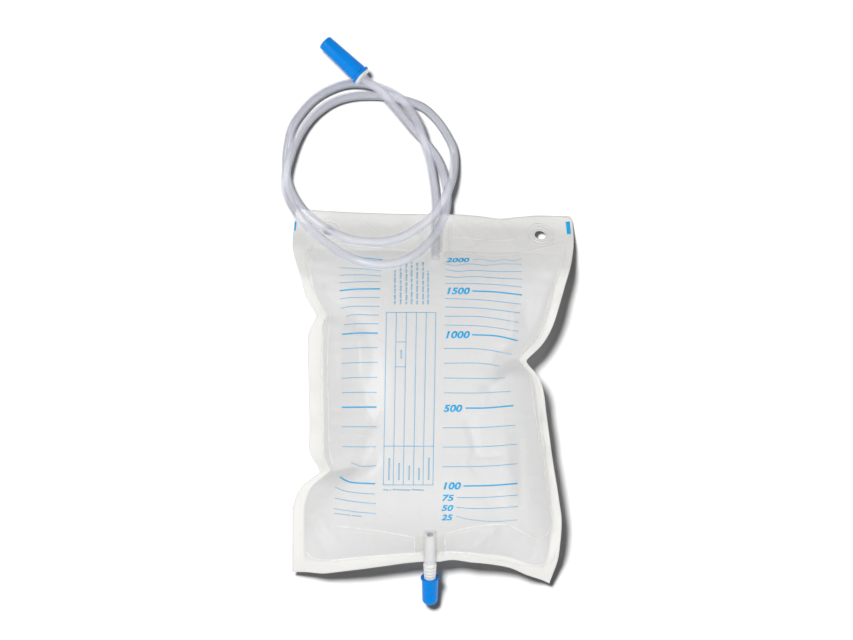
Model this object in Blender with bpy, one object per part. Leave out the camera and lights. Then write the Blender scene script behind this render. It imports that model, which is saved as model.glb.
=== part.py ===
"""Urine drainage bag lying on its back, part full of air.

Two clear PVC films are welded round their edge. A thin tube is welded in at the top, lies in two
coils over the bag and ends in a capped connector. A short tube is welded in at the bottom and
carries a ribbed nozzle with a pull-off cap.

Metres. +Z is up, +Y runs from the outlet to the hanging edge, and the bag rests on z = 0.
"""

import math

import bmesh
import bpy
import numpy as np
from mathutils import Matrix, Vector
from mathutils.bvhtree import BVHTree

# Films
BAG_WIDTH = 0.206
BAG_LENGTH = 0.2545
BAG_BOTTOM = -0.113
FILM_THICKNESS = 0.0004
FIT_GAP = 0.0003
SIDE_WELD = 0.0085
BOTTOM_WELD = 0.0073
HANGING_STRIP = 0.0275
CROWN_HEIGHT = 0.076
SEAM_HEIGHT = 0.035

# How far the corners of the cut edge lie off its middle, along the bag
BOTTOM_LEFT_DROP = 0.0075
BOTTOM_RIGHT_DROP = 0.0160
TOP_LEFT_RISE = 0.0040
TOP_RIGHT_DROP = 0.0015

# Width of the cut edge: (share of the length from the bottom, share of half the width)
LEFT_EDGE = (
    (0.00, 1.000),
    (0.16, 1.000),
    (0.21, 0.980),
    (0.30, 0.905),
    (0.40, 0.880),
    (0.63, 0.895),
    (0.71, 0.900),
    (0.80, 0.936),
    (0.90, 1.000),
    (1.00, 0.976),
)
RIGHT_EDGE = (
    (0.00, 0.826),
    (0.08, 0.895),
    (0.17, 0.914),
    (0.23, 0.895),
    (0.37, 0.838),
    (0.55, 0.790),
    (0.65, 0.815),
    (0.72, 0.870),
    (0.80, 0.930),
    (0.88, 0.986),
    (0.93, 1.000),
    (1.00, 0.971),
)

# Height of the weld above the table, down the middle: (share of the length, share of SEAM_HEIGHT)
SEAM_LINE = (
    (0.00, 0.914),
    (0.0287, 1.060),
    (0.08, 1.050),
    (0.25, 1.000),
    (0.80, 1.000),
    (0.85, 0.943),
    (0.892, 0.771),
    (0.932, 0.500),
    (0.971, 0.243),
    (1.00, 0.150),
)

# How far the weld hangs at the sides: (share of the length, share of its height lost)
SIDE_DROOP = (
    (0.00, 0.66),
    (0.05, 0.48),
    (0.13, 0.20),
    (0.25, 0.06),
    (0.75, 0.06),
    (0.90, 0.30),
    (1.00, 0.68),
)

# Places where the filled bag buckles its side in: side, share of the length, depth as a share of
# half the width, half length as a share of the length
BUCKLES = (
    (+1, 0.606, 0.136, 0.0393),
    (-1, 0.708, 0.073, 0.0334),
    (-1, 0.277, 0.121, 0.0334),
)

# Valleys that run in from the buckles: (s, t) of both ends, share of the height lost, half width
# as a share of the length
VALLEYS = (
    ((0.92, 0.606), (0.52, 0.570), 0.30, 0.0295),
    ((-0.92, 0.708), (-0.58, 0.680), 0.22, 0.0255),
    ((-0.92, 0.277), (-0.50, 0.300), 0.30, 0.0275),
    ((0.62, 0.060), (0.44, 0.190), 0.16, 0.0275),
    ((-0.70, 0.070), (-0.50, 0.200), 0.16, 0.0275),
)

# How the filled films round off: where the flat middle starts and ends as shares of the length,
# and how squarely they fall at the ends and at the sides
UPPER_FILL = (0.290, 0.407, 2.2, 2.4)
LOWER_FILL = (0.250, 0.520, 3.0, 3.0)

# How far below the table the lower film would hang, which presses it flat there: share of the seam
LOWER_SAG = 0.12

# Share of the length over which the films part to take in the inlet tube
INLET_COVER = 0.050

# Hanging holes
EYELET_RADIUS = 0.0043
EYELET_ACROSS = 0.755
EYELET_ALONG = 0.944

# Inlet tube
TUBE_DIAMETER = 0.0067
INLET_X = 0.0021
INLET_REACH_IN = 0.0060
STRAIGHT_ENTRY = 0.0060
TUBE_POINTS = 66

# Route of the tube after it leaves the bag: x, y, and how many turns of tube it lies on
TUBE_ROUTE = (
    (0.0017, 0.1530, 0.0),
    (-0.0016, 0.1763, 0.0),
    (-0.0064, 0.1935, 1.0),
    (-0.0130, 0.2120, 1.1),
    (-0.0262, 0.2282, 1.0),
    (-0.0463, 0.2365, 0.0),
    (-0.0610, 0.2375, 0.0),
    (-0.0715, 0.2350, 0.0),
    (-0.0830, 0.2290, 0.0),
    (-0.0925, 0.2210, 0.0),
    (-0.1042, 0.2034, 0.0),
    (-0.1078, 0.1726, 0.0),
    (-0.1005, 0.1521, 0.0),
    (-0.0845, 0.1352, 0.0),
    (-0.0610, 0.1235, 0.0),
    (-0.0316, 0.1220, 0.0),
    (-0.0089, 0.1330, 0.2),
    (-0.0012, 0.1396, 1.0),
    (0.0050, 0.1473, 1.3),
    (0.0132, 0.1650, 0.8),
    (0.0151, 0.1741, 0.2),
    (0.0149, 0.1873, 0.0),
    (0.0124, 0.1953, 0.0),
    (0.0058, 0.2063, 0.0),
    (-0.0023, 0.2159, 0.0),
    (-0.0126, 0.2225, 0.0),
    (-0.0353, 0.2283, 0.0),
    (-0.0610, 0.2279, 0.0),
    (-0.0771, 0.2220, 0.0),
    (-0.0892, 0.2123, 0.3),
    (-0.0990, 0.1990, 0.8),
    (-0.1078, 0.1726, 1.1),
    (-0.1057, 0.1521, 0.8),
    (-0.0888, 0.1301, 0.0),
    (-0.0749, 0.1184, 0.0),
    (-0.0562, 0.1081, 0.0),
    (-0.0375, 0.1048, 0.0),
    (-0.0243, 0.1067, 0.0),
    (-0.0150, 0.1110, 0.0),
    (-0.0012, 0.1231, 0.0),
    (0.0085, 0.1414, 0.0),
    (0.0098, 0.1594, 0.0),
    (0.0025, 0.1836, 0.0),
    (-0.0155, 0.2049, 0.1),
    (-0.0316, 0.2247, 1.5),
    (-0.0390, 0.2327, 1.75),
)

# Catheter connector and its cap: centre of the white flange, heading, and dip of the axis
CONNECTOR_AT = (-0.0515, 0.2421, 0.0156)
CONNECTOR_HEADING = math.radians(137.4)
CONNECTOR_DIP = math.radians(8.0)
CONNECTOR_FLANGE_RADIUS = 0.0068
CONNECTOR_FLANGE_LENGTH = 0.0016
CONNECTOR_LENGTH = 0.0335
CONNECTOR_NECK_RADIUS = 0.0046
CONNECTOR_TIP_RADIUS = 0.0034
CONNECTOR_BORE_RADIUS = 0.0020
SOCKET_DEPTH = 0.0110
CONNECTOR_CAP_LENGTH = 0.0375
CONNECTOR_CAP_RIM_RADIUS = 0.00765
CONNECTOR_CAP_MOUTH_RADIUS = 0.0065
CONNECTOR_CAP_END_RADIUS = 0.0055
CAP_WALL = 0.0010

# Outlet: the tube crosses the bottom weld and dips towards the table
OUTLET_X = -0.0024
OUTLET_DIP = math.radians(35.0)
OUTLET_RADIUS = 0.0042
OUTLET_BORE_RADIUS = 0.0023
OUTLET_REACH_IN = 0.0270
OUTLET_REACH_OUT = 0.0014
NOZZLE_LENGTH = 0.0248
NOZZLE_SHANK = 0.0070
NOZZLE_NECK = 0.0026
NOZZLE_ROOT_RADIUS = 0.0049
NOZZLE_TIP_RADIUS = 0.0038
NOZZLE_BORE_RADIUS = 0.0011
NOZZLE_RIBS = 5
NOZZLE_RIB_PITCH = 0.0031
NOZZLE_RIB_HEIGHT = 0.0006
OUTLET_CAP_LENGTH = 0.0220
OUTLET_CAP_RADIUS = 0.00595
OUTLET_CAP_RIM_RADIUS = 0.00685
OUTLET_CAP_BEAD = 0.0018
OUTLET_CAP_OVERLAP = 0.0115
OUTLET_CAP_CORNER = 0.0035

TURNED_STEPS = 24


# Numbers
def smooth_through(stations, at):
    """The value at a place, on a curve through (place, value) stations that never overshoots."""
    place, value = np.array(stations, float).T
    slope = np.diff(value) / np.diff(place)
    tangent = np.concatenate([slope[:1], np.zeros(len(slope) - 1), slope[-1:]])
    before, after = slope[:-1], slope[1:]
    same_way = before * after > 0
    mean = 2 * before * after / np.where(same_way, before + after, 1.0)
    tangent[1:-1] = np.where(same_way, mean, 0.0)
    at = np.clip(at, place[0], place[-1])
    i = np.clip(np.searchsorted(place, at, side="right") - 1, 0, len(slope) - 1)
    step = place[i + 1] - place[i]
    u = (at - place[i]) / step
    rise = value[i] + (value[i + 1] - value[i]) * u * u * (3 - 2 * u)
    return rise + step * u * (1 - u) * (tangent[i] * (1 - u) - tangent[i + 1] * u)


def ease(value):
    """Smooth step from 0 to 1."""
    value = np.clip(value, 0.0, 1.0)
    return value * value * (3 - 2 * value)


# Shape of the bag over (s, t): s runs -1 to 1 across, t runs 0 to 1 from the bottom edge to the top
def side_share():
    """The s at which the side weld ends."""
    return 1.0 - SIDE_WELD / (BAG_WIDTH / 2)


def low_weld():
    """The t at which the bottom weld ends."""
    return BOTTOM_WELD / BAG_LENGTH


def high_weld():
    """The t at which the hanging strip starts."""
    return 1.0 - HANGING_STRIP / BAG_LENGTH


def middle_x(t):
    """Place across the bag of the line from the outlet to the inlet."""
    return OUTLET_X + (INLET_X - OUTLET_X) * t


def weld_sheet(s, t):
    """The surface along which both films are welded, carried on through the middle of the bag."""
    half = BAG_WIDTH / 2
    right = half * smooth_through(RIGHT_EDGE, t)
    left = half * smooth_through(LEFT_EDGE, t)
    x = middle_x(t) * (1 - s * s) + s * (right + left) / 2 + s * s * (right - left) / 2
    low = BAG_BOTTOM - np.where(s > 0, BOTTOM_RIGHT_DROP * s**3, BOTTOM_LEFT_DROP * s * s)
    high = BAG_BOTTOM + BAG_LENGTH + np.where(s > 0, -TOP_RIGHT_DROP, TOP_LEFT_RISE) * s * s
    y = low + (high - low) * t
    lost = smooth_through(SIDE_DROOP, t) * np.abs(s) ** 3
    z = SEAM_HEIGHT * smooth_through(SEAM_LINE, t) * (1 - lost)
    for side, along, depth, half_length in BUCKLES:
        near = np.exp(-(np.abs(t - along) / half_length) ** 1.5)
        pull = depth * half * near * ease((side * s - 0.42) / 0.58)
        x = x - side * pull
        z = z + 0.20 * pull
    return np.stack([x, y, z], axis=-1)


def sheet_normal(s, t):
    """Upward unit normal of the weld sheet."""
    step = 1e-4
    across = weld_sheet(s + step, t) - weld_sheet(s - step, t)
    along = weld_sheet(s, t + step) - weld_sheet(s, t - step)
    normal = np.cross(across, along)
    return normal / np.linalg.norm(normal, axis=-1, keepdims=True)


def swell(s, t, fill):
    """How full the bag is: 0 at the welds, 1 over the flat middle."""
    low_flat, high_flat, end_power, side_power = fill
    low = (low_flat - t) / (low_flat - low_weld())
    high = (t - high_flat) / (high_weld() - high_flat)
    u = np.clip(np.maximum(low, high), 0.0, 1.0)
    across = np.clip(np.abs(s) / side_share(), 0.0, 1.0)
    return (1 - u**end_power) ** 0.8 * (1 - across**side_power) ** 0.7


def valley_share(s, t):
    """Share of the swell that is left beside the valleys."""
    left = np.ones_like(s)
    size = np.array([BAG_WIDTH / 2, BAG_LENGTH])
    point = np.stack([s, t], axis=-1) * size
    for start, end, depth, half_width in VALLEYS:
        a, b = np.array(start) * size, np.array(end) * size
        run = b - a
        u = np.clip(((point - a) @ run) / (run @ run), 0.0, 1.0)
        off = np.linalg.norm(point - a - u[..., None] * run, axis=-1) / BAG_LENGTH
        left = left - depth * ease(1.25 - u) * np.exp(-((off / half_width) ** 2))
    return left


def tent(off, radius):
    """Height of the film over a tube's axis, off to one side of it: round, then straight flanks."""
    reach = radius + 1.6 * FIT_GAP
    flank = reach * math.sqrt(0.5)
    crown = np.sqrt(np.maximum(reach**2 - np.minimum(off, flank) ** 2, 0.0))
    return np.where(off > flank, 2 * flank - off, crown)


def outlet_height(y):
    """Height of the outlet's axis over a place along the bag."""
    _, edge_y, edge_z = weld_sheet(np.zeros(1), np.zeros(1))[0]
    return edge_z + (y - edge_y) * math.tan(OUTLET_DIP)


def film_surface(s, t, up):
    """Inner surface of the upper (up = 1) or lower (up = -1) film."""
    sheet, normal = weld_sheet(s, t), sheet_normal(s, t)
    off = np.abs(sheet[..., 0] - middle_x(t))
    over_inlet = ease((t - high_weld()) / INLET_COVER + 1)
    stand_off = np.maximum(tent(off, TUBE_DIAMETER / 2), 0.0) * over_inlet
    surface = sheet + up * normal * (FIT_GAP / 2 + stand_off)[..., None]
    if up > 0:
        full = swell(s, t, UPPER_FILL) * valley_share(s, t)
        surface[..., 2] += (CROWN_HEIGHT - FILM_THICKNESS - sheet[..., 2]) * full
    else:
        full = swell(s, t, LOWER_FILL)
        surface[..., 2] -= (1 + LOWER_SAG) * sheet[..., 2] * full
        surface[..., 2] = np.maximum(surface[..., 2], FILM_THICKNESS)
    over_outlet = outlet_height(surface[..., 1])
    over_outlet += up * tent(off, OUTLET_RADIUS) / math.cos(OUTLET_DIP)
    draped = up * np.maximum(up * surface[..., 2], up * over_outlet)
    surface[..., 2] = np.where(t * BAG_LENGTH < OUTLET_REACH_IN, draped, surface[..., 2])
    return surface


def columns():
    """The s of the film's columns, closest together over the tubes."""
    tube = (OUTLET_RADIUS + FIT_GAP) / (BAG_WIDTH / 2)
    near = [0.0, 0.36 * tube, 0.72 * tube, 1.06 * tube, 1.42 * tube, 2.3 * tube]
    far = [0.18, 0.28, 0.39, 0.50, 0.60, 0.69, 0.77, 0.83, 0.878, side_share(), 1.0]
    right = near + far
    return np.array([-s for s in right[:0:-1]] + right)


def rows():
    """The t of the film's rows, closest together at the welds and the buckles."""
    low = [0.0, low_weld()]
    body = [0.044, 0.064, 0.088, 0.118, 0.155, 0.200, 0.245, 0.270, 0.290, 0.315]
    body += [0.360, 0.415, 0.470, 0.525, 0.570, 0.606, 0.640, 0.675, 0.708, 0.742]
    body += [0.785, 0.825, 0.855, 0.876]
    high = np.linspace(high_weld(), 1.0, 5)
    return np.array([*low, *body, *high])


# Blender helpers
def clear_scene():
    for old in list(bpy.data.objects):
        bpy.data.objects.remove(old, do_unlink=True)


def material(name, colour, roughness, alpha=1.0):
    made = bpy.data.materials.new(name)
    made.use_nodes = True
    shader = made.node_tree.nodes["Principled BSDF"]
    shader.inputs["Base Color"].default_value = (*colour, 1.0)
    shader.inputs["Roughness"].default_value = roughness
    shader.inputs["Alpha"].default_value = alpha
    return made


def mesh_object(name, bm, finish):
    mesh = bpy.data.meshes.new(name)
    bm.to_mesh(mesh)
    bm.free()
    mesh.materials.append(finish)
    mesh.shade_smooth()
    made = bpy.data.objects.new(name, mesh)
    bpy.context.scene.collection.objects.link(made)
    return made


def axis_matrix(origin, direction):
    """Frame whose +Z runs along a direction, with its origin on that axis."""
    turn = Vector((0, 0, 1)).rotation_difference(Vector(direction))
    return Matrix.Translation(origin) @ turn.to_matrix().to_4x4()


def turned(name, profile, closed, finish, place):
    """A piece turned round its own Z axis from (radius, height) points, outer side first, top down."""
    bm = bmesh.new()
    corners = [bm.verts.new((radius, 0.0, height)) for radius, height in profile]
    for a, b in zip(corners, corners[1:]):
        bm.edges.new((a, b))
    if closed:
        bm.edges.new((corners[-1], corners[0]))
    made = mesh_object(name, bm, finish)
    screw = made.modifiers.new("Turn", "SCREW")
    screw.steps = TURNED_STEPS
    screw.render_steps = TURNED_STEPS
    screw.use_merge_vertices = True
    screw.merge_threshold = 0.00001
    screw.use_normal_calculate = False
    made.matrix_world = place
    return made


# Films
def film(name, up, finish):
    """One welded film: a grid laid over the bag's shape, then given its thickness outwards."""
    s, t = columns(), rows()
    bm = bmesh.new()
    bmesh.ops.create_grid(bm, x_segments=len(s) - 1, y_segments=len(t) - 1, size=1.0)
    for vert in bm.verts:
        column = round((vert.co.x + 1) / 2 * (len(s) - 1))
        row = round((vert.co.y + 1) / 2 * (len(t) - 1))
        vert.co = film_surface(s[column : column + 1], t[row : row + 1], up)[0]
    bmesh.ops.triangulate(bm, faces=bm.faces, quad_method="FIXED")
    if up < 0:
        bmesh.ops.reverse_faces(bm, faces=bm.faces)
    made = mesh_object(name, bm, finish)
    solid = made.modifiers.new("Thickness", "SOLIDIFY")
    solid.thickness = FILM_THICKNESS
    solid.offset = 1.0
    solid.use_even_offset = True
    return made


def eyelet_cutters():
    """One punch for each hanging hole, square to the sloping strip."""
    made = []
    for side in (-1, 1):
        s, t = np.array([side * EYELET_ACROSS]), np.array([EYELET_ALONG])
        centre, normal = weld_sheet(s, t)[0], sheet_normal(s, t)[0]
        bm = bmesh.new()
        bmesh.ops.create_cone(
            bm,
            cap_ends=True,
            segments=24,
            radius1=EYELET_RADIUS,
            radius2=EYELET_RADIUS,
            depth=0.012,
        )
        punch = mesh_object("eyelet_punch", bm, None)
        punch.matrix_world = axis_matrix(centre, normal)
        punch.hide_render = True
        punch.display_type = "WIRE"
        made.append(punch)
    return made


def punch_holes(target, punches):
    for punch in punches:
        cut = target.modifiers.new("Hanging hole", "BOOLEAN")
        cut.operation = "DIFFERENCE"
        cut.solver = "EXACT"
        cut.object = punch


# Inlet tube
def catmull_rom(points, count):
    """Points at even distances along a smooth curve through the given ones."""
    points = np.array(points, float)
    padded = np.vstack([2 * points[0] - points[1], points, 2 * points[-1] - points[-2]])
    fine = []
    for a, b, c, d in zip(padded, padded[1:], padded[2:], padded[3:]):
        u = np.linspace(0, 1, 12, endpoint=False)[:, None]
        bend = 2 * a - 5 * b + 4 * c - d
        curl = 3 * b - a - 3 * c + d
        fine.append(0.5 * (2 * b + (c - a) * u + bend * u**2 + curl * u**3))
    fine = np.vstack([*fine, points[-1:]])
    plan = np.linalg.norm(np.diff(fine[:, :2], axis=0), axis=1)
    along = np.concatenate([[0.0], np.cumsum(plan)])
    at = np.linspace(0, along[-1], count)
    return np.stack([np.interp(at, along, fine[:, k]) for k in range(fine.shape[1])], axis=1)


def clear_of(tree, x, y, low, clearance):
    """The lowest height, from low up, at which a point is clear of the film by a distance."""
    high = low + CROWN_HEIGHT + 0.03
    hit = tree.ray_cast(Vector((x, y, high)), Vector((0, 0, -1)))[0]
    height = low if hit is None else max(low, hit.z + clearance)
    while tree.find_nearest(Vector((x, y, height)), clearance)[0] is not None:
        height += 0.0002
    return height


def connector_axis():
    flat = math.cos(CONNECTOR_DIP)
    return Vector(
        (
            flat * math.cos(CONNECTOR_HEADING),
            flat * math.sin(CONNECTOR_HEADING),
            -math.sin(CONNECTOR_DIP),
        )
    )


def tube_centres(tree):
    """The tube's centreline: through the weld, over the table and the bag, into the connector."""
    inner_end = high_weld() - INLET_REACH_IN / BAG_LENGTH
    t = np.array([inner_end, *np.linspace(high_weld(), 1.0, 5)])
    through = weld_sheet(np.zeros_like(t), t)
    clearance = TUBE_DIAMETER / 2 + FIT_GAP
    edge = through[-1]
    laid = catmull_rom([(edge[0], edge[1], 0.0), *TUBE_ROUTE], TUBE_POINTS)[1:]
    heights = np.array([clear_of(tree, x, y, clearance, clearance) for x, y, _ in laid])
    laid[:, 2] = heights + laid[:, 2] * (TUBE_DIAMETER + FIT_GAP)
    start, axis = Vector(CONNECTOR_AT), connector_axis()
    into = [start - axis * STRAIGHT_ENTRY, start, start + axis * (SOCKET_DEPTH - FIT_GAP)]
    return settled(np.vstack([through, laid, into]), len(through), len(into), tree)


def settled(points, first, last, tree):
    """Eases the tube's rises, and keeps it clear of the film and of the stretches under it."""
    points = points.copy()
    laid = points[:, 2].copy()
    clearance = TUBE_DIAMETER / 2 + FIT_GAP
    share = np.linspace(0, 1, 6, endpoint=False)
    free = slice(first, len(points) - last)
    for turn in range(160):
        if turn < 120:
            level = (points[first - 1 : -last - 1, 2] + points[first + 1 : 1 - last or None, 2]) / 2
            bend = 0.4 * (level - points[free, 2])
            points[free, 2] += bend + 0.1 * (laid[free] - points[free, 2])
        runs = points[:-1, None] + (points[1:] - points[:-1])[:, None] * share[None, :, None]
        fine = runs.reshape(-1, 3)
        along = np.arange(len(fine)) / len(share)
        apart = np.linalg.norm(fine[:, None] - fine[None], axis=2)
        near = (apart < 2 * clearance - FIT_GAP) & (along[:, None] - along[None] > 4)
        lift = np.zeros(len(points))
        for i, j in np.argwhere(near):
            upper = i if fine[i, 2] > fine[j, 2] else j
            short = 2 * clearance - FIT_GAP - apart[i, j]
            k = int(along[upper])
            lift[k : k + 2] = np.maximum(lift[k : k + 2], short)
        for i in range(len(share) * first, len(fine)):
            off = tree.find_nearest(Vector(fine[i]), clearance)[3]
            if off is not None:
                k = int(along[i])
                lift[k : k + 2] = np.maximum(lift[k : k + 2], clearance - off)
        points[free, 2] = np.maximum(points[free, 2] + lift[free], clearance)
    return points


def inlet_tube(finish, upper_film):
    tree = BVHTree.FromObject(upper_film, bpy.context.evaluated_depsgraph_get())
    points = tube_centres(tree)
    data = bpy.data.curves.new("inlet_tube", "CURVE")
    data.dimensions = "3D"
    data.bevel_depth = TUBE_DIAMETER / 2
    data.bevel_resolution = 3
    data.use_fill_caps = True
    line = data.splines.new("POLY")
    line.points.add(len(points) - 1)
    for spot, point in zip(line.points, points):
        spot.co = (*point, 1.0)
    line.use_smooth = True
    data.materials.append(finish)
    made = bpy.data.objects.new("inlet_tube", data)
    bpy.context.scene.collection.objects.link(made)
    return made


# Connector
def catheter_connector(finish):
    """Stepped taper: a flange with a socket for the tube, a neck, and a ribbed tip."""
    socket = TUBE_DIAMETER / 2 + FIT_GAP
    neck_end = SOCKET_DEPTH + 0.0030
    tip = CONNECTOR_LENGTH
    profile = [
        (CONNECTOR_TIP_RADIUS - 0.0003, tip),
        (CONNECTOR_TIP_RADIUS, tip - 0.0010),
        (CONNECTOR_TIP_RADIUS + 0.0006, neck_end + 0.0040),
        (CONNECTOR_NECK_RADIUS - 0.0003, neck_end),
        (CONNECTOR_NECK_RADIUS, neck_end - 0.0010),
        (CONNECTOR_NECK_RADIUS, CONNECTOR_FLANGE_LENGTH),
        (CONNECTOR_FLANGE_RADIUS, CONNECTOR_FLANGE_LENGTH),
        (CONNECTOR_FLANGE_RADIUS, 0.0),
        (socket, 0.0),
        (socket, SOCKET_DEPTH),
        (CONNECTOR_BORE_RADIUS, SOCKET_DEPTH + 0.0008),
        (CONNECTOR_BORE_RADIUS, tip),
    ]
    place = axis_matrix(CONNECTOR_AT, connector_axis())
    return turned("catheter_connector", profile, True, finish, place)


def connector_cap(finish):
    """Tapered cap with a rim bead and a slightly domed end."""
    top = CONNECTOR_CAP_LENGTH
    mouth, end = CONNECTOR_CAP_MOUTH_RADIUS, CONNECTOR_CAP_END_RADIUS
    rim = CONNECTOR_CAP_RIM_RADIUS
    profile = [
        (0.0, top),
        (0.5 * end, top - 0.0002),
        (end - 0.0005, top - 0.0007),
        (end, top - 0.0014),
        (mouth, 0.0024),
        (mouth - 0.0003, 0.0020),
        (rim - 0.0003, 0.0017),
        (rim, 0.0013),
        (rim, 0.0003),
        (rim - 0.0003, 0.0),
        (mouth - CAP_WALL, 0.0),
        (end - CAP_WALL, top - 0.0024),
        (0.0, top - 0.0020),
    ]
    lift = CONNECTOR_FLANGE_LENGTH + FIT_GAP
    place = axis_matrix(Vector(CONNECTOR_AT) + connector_axis() * lift, connector_axis())
    return turned("connector_cap", profile, False, finish, place)


# Outlet
def outlet_axis():
    return Vector((0.0, -math.cos(OUTLET_DIP), -math.sin(OUTLET_DIP)))


def outlet_edge():
    """Where the outlet's axis leaves the bottom weld."""
    return Vector(weld_sheet(np.zeros(1), np.zeros(1))[0])


def outlet_tube(finish):
    low, high = -OUTLET_REACH_IN, OUTLET_REACH_OUT
    profile = [
        (OUTLET_RADIUS, high),
        (OUTLET_RADIUS, low),
        (OUTLET_BORE_RADIUS, low),
        (OUTLET_BORE_RADIUS, high),
    ]
    place = axis_matrix(outlet_edge(), outlet_axis())
    return turned("outlet_tube", profile, True, finish, place)


def outlet_nozzle(finish):
    """Ribbed nozzle: its shank is in the tube, and its tapered end is in the cap."""
    root, tip = OUTLET_REACH_OUT + FIT_GAP, OUTLET_REACH_OUT + NOZZLE_LENGTH
    fall = (NOZZLE_ROOT_RADIUS - NOZZLE_TIP_RADIUS) / (tip - root)
    shank = OUTLET_BORE_RADIUS - FIT_GAP
    outer = [(NOZZLE_TIP_RADIUS - 0.0004, tip), (NOZZLE_TIP_RADIUS, tip - 0.0006)]
    for rib in reversed(range(NOZZLE_RIBS)):
        at = root + NOZZLE_NECK + rib * NOZZLE_RIB_PITCH
        radius = NOZZLE_ROOT_RADIUS - fall * rib * NOZZLE_RIB_PITCH
        outer.append((radius - NOZZLE_RIB_HEIGHT, at + 0.95 * NOZZLE_RIB_PITCH))
        outer.append((radius, at + 0.65 * NOZZLE_RIB_PITCH))
        outer.append((radius - 0.0001, at + 0.05 * NOZZLE_RIB_PITCH))
    outer += [(OUTLET_RADIUS, root + NOZZLE_NECK), (OUTLET_RADIUS, root)]
    inner = [(shank, root), (shank, root - NOZZLE_SHANK)]
    bore = [(NOZZLE_BORE_RADIUS, root - NOZZLE_SHANK), (NOZZLE_BORE_RADIUS, tip)]
    place = axis_matrix(outlet_edge(), outlet_axis())
    return turned("outlet_nozzle", outer + inner + bore, True, finish, place)


def outlet_cap(finish):
    """Round-ended cap with a rolled rim, pulled off to empty the bag."""
    top, radius, rim = OUTLET_CAP_LENGTH, OUTLET_CAP_RADIUS, OUTLET_CAP_RIM_RADIUS
    corner, bead = OUTLET_CAP_CORNER, OUTLET_CAP_BEAD
    end = radius - 0.0003
    arc = [math.radians(angle) for angle in (90, 65, 40, 15)]
    rounded = [
        (end - corner + corner * math.cos(a), top - corner + corner * math.sin(a)) for a in arc
    ]
    profile = [(0.0, top), *rounded]
    profile += [(radius, bead + 0.0005), (rim - 0.0003, bead), (rim, bead - 0.0004)]
    profile += [(rim, 0.0004), (rim - 0.0004, 0.0), (radius - CAP_WALL + 0.0003, 0.0)]
    profile += [(radius - CAP_WALL, 0.0010), (end - CAP_WALL, top - corner)]
    profile += [(end - corner, top - CAP_WALL - 0.0006), (0.0, top - CAP_WALL)]
    mouth = OUTLET_REACH_OUT + NOZZLE_LENGTH - OUTLET_CAP_OVERLAP
    place = axis_matrix(outlet_edge() + outlet_axis() * mouth, outlet_axis())
    return turned("outlet_cap", profile, False, finish, place)


def build():
    clear_scene()
    clear_film = material("clear_film", (0.78, 0.79, 0.80), 0.25, 0.55)
    backing = material("clear_film_back", (0.76, 0.77, 0.79), 0.25, 0.55)
    punches = eyelet_cutters()
    front = film("front_film", 1, clear_film)
    back = film("back_film", -1, backing)
    punch_holes(front, punches)
    punch_holes(back, punches)
    inlet_tube(material("tube_pvc", (0.66, 0.68, 0.76), 0.20, 0.75), front)
    catheter_connector(material("white_plastic", (0.85, 0.86, 0.87), 0.35))
    connector_cap(material("blue_cap", (0.0, 0.26, 0.80), 0.30))
    outlet_tube(material("outlet_pvc", (0.70, 0.72, 0.78), 0.20, 0.75))
    outlet_nozzle(material("white_nozzle", (0.86, 0.87, 0.88), 0.35))
    outlet_cap(material("blue_outlet_cap", (0.0, 0.25, 0.80), 0.30))


build()
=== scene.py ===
"""Looks of the urine drainage bag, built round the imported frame.

Metres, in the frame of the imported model: +Z is up from the table, +Y runs from the outlet to the
hanging edge. Tables of places on the bag are in millimetres and are named so.
"""

import logging
import math
from collections.abc import Sequence
from dataclasses import dataclass, field, replace
from enum import Enum

import bmesh
import bpy
import numpy as np
from bmesh.types import BMesh
from bpy.types import ID, Collection, Curve, Material, Mesh, Node, NodeSocket, NodeTree, Object
from mathutils import Matrix, Vector
from mathutils.bvhtree import BVHTree


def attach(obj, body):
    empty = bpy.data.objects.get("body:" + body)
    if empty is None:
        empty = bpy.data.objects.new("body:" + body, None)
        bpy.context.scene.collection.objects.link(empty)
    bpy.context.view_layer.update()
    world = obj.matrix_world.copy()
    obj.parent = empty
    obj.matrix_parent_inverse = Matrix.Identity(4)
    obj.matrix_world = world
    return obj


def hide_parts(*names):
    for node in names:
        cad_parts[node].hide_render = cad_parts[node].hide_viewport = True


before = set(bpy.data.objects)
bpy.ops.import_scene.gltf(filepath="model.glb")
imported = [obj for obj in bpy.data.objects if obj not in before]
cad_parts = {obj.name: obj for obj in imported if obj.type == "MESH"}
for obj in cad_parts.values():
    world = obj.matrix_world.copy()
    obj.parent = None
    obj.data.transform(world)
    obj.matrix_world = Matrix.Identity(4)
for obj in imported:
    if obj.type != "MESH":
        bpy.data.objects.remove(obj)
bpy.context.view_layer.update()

MM = 0.001
MERGE_DISTANCE = 1e-6
HIGH_ABOVE = 0.2
DOWN = Vector((0.0, 0.0, -1.0))
BAG_BODY = "bag"
OUTLET_CAP_BODY = "outlet_closure"
CONNECTOR_CAP_BODY = "connector_closure"

log = logging.getLogger("drainage_bag")

Point = tuple[float, float]
Triple = tuple[float, float, float]
Route = tuple[Point, ...]
Colour = Triple


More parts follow.
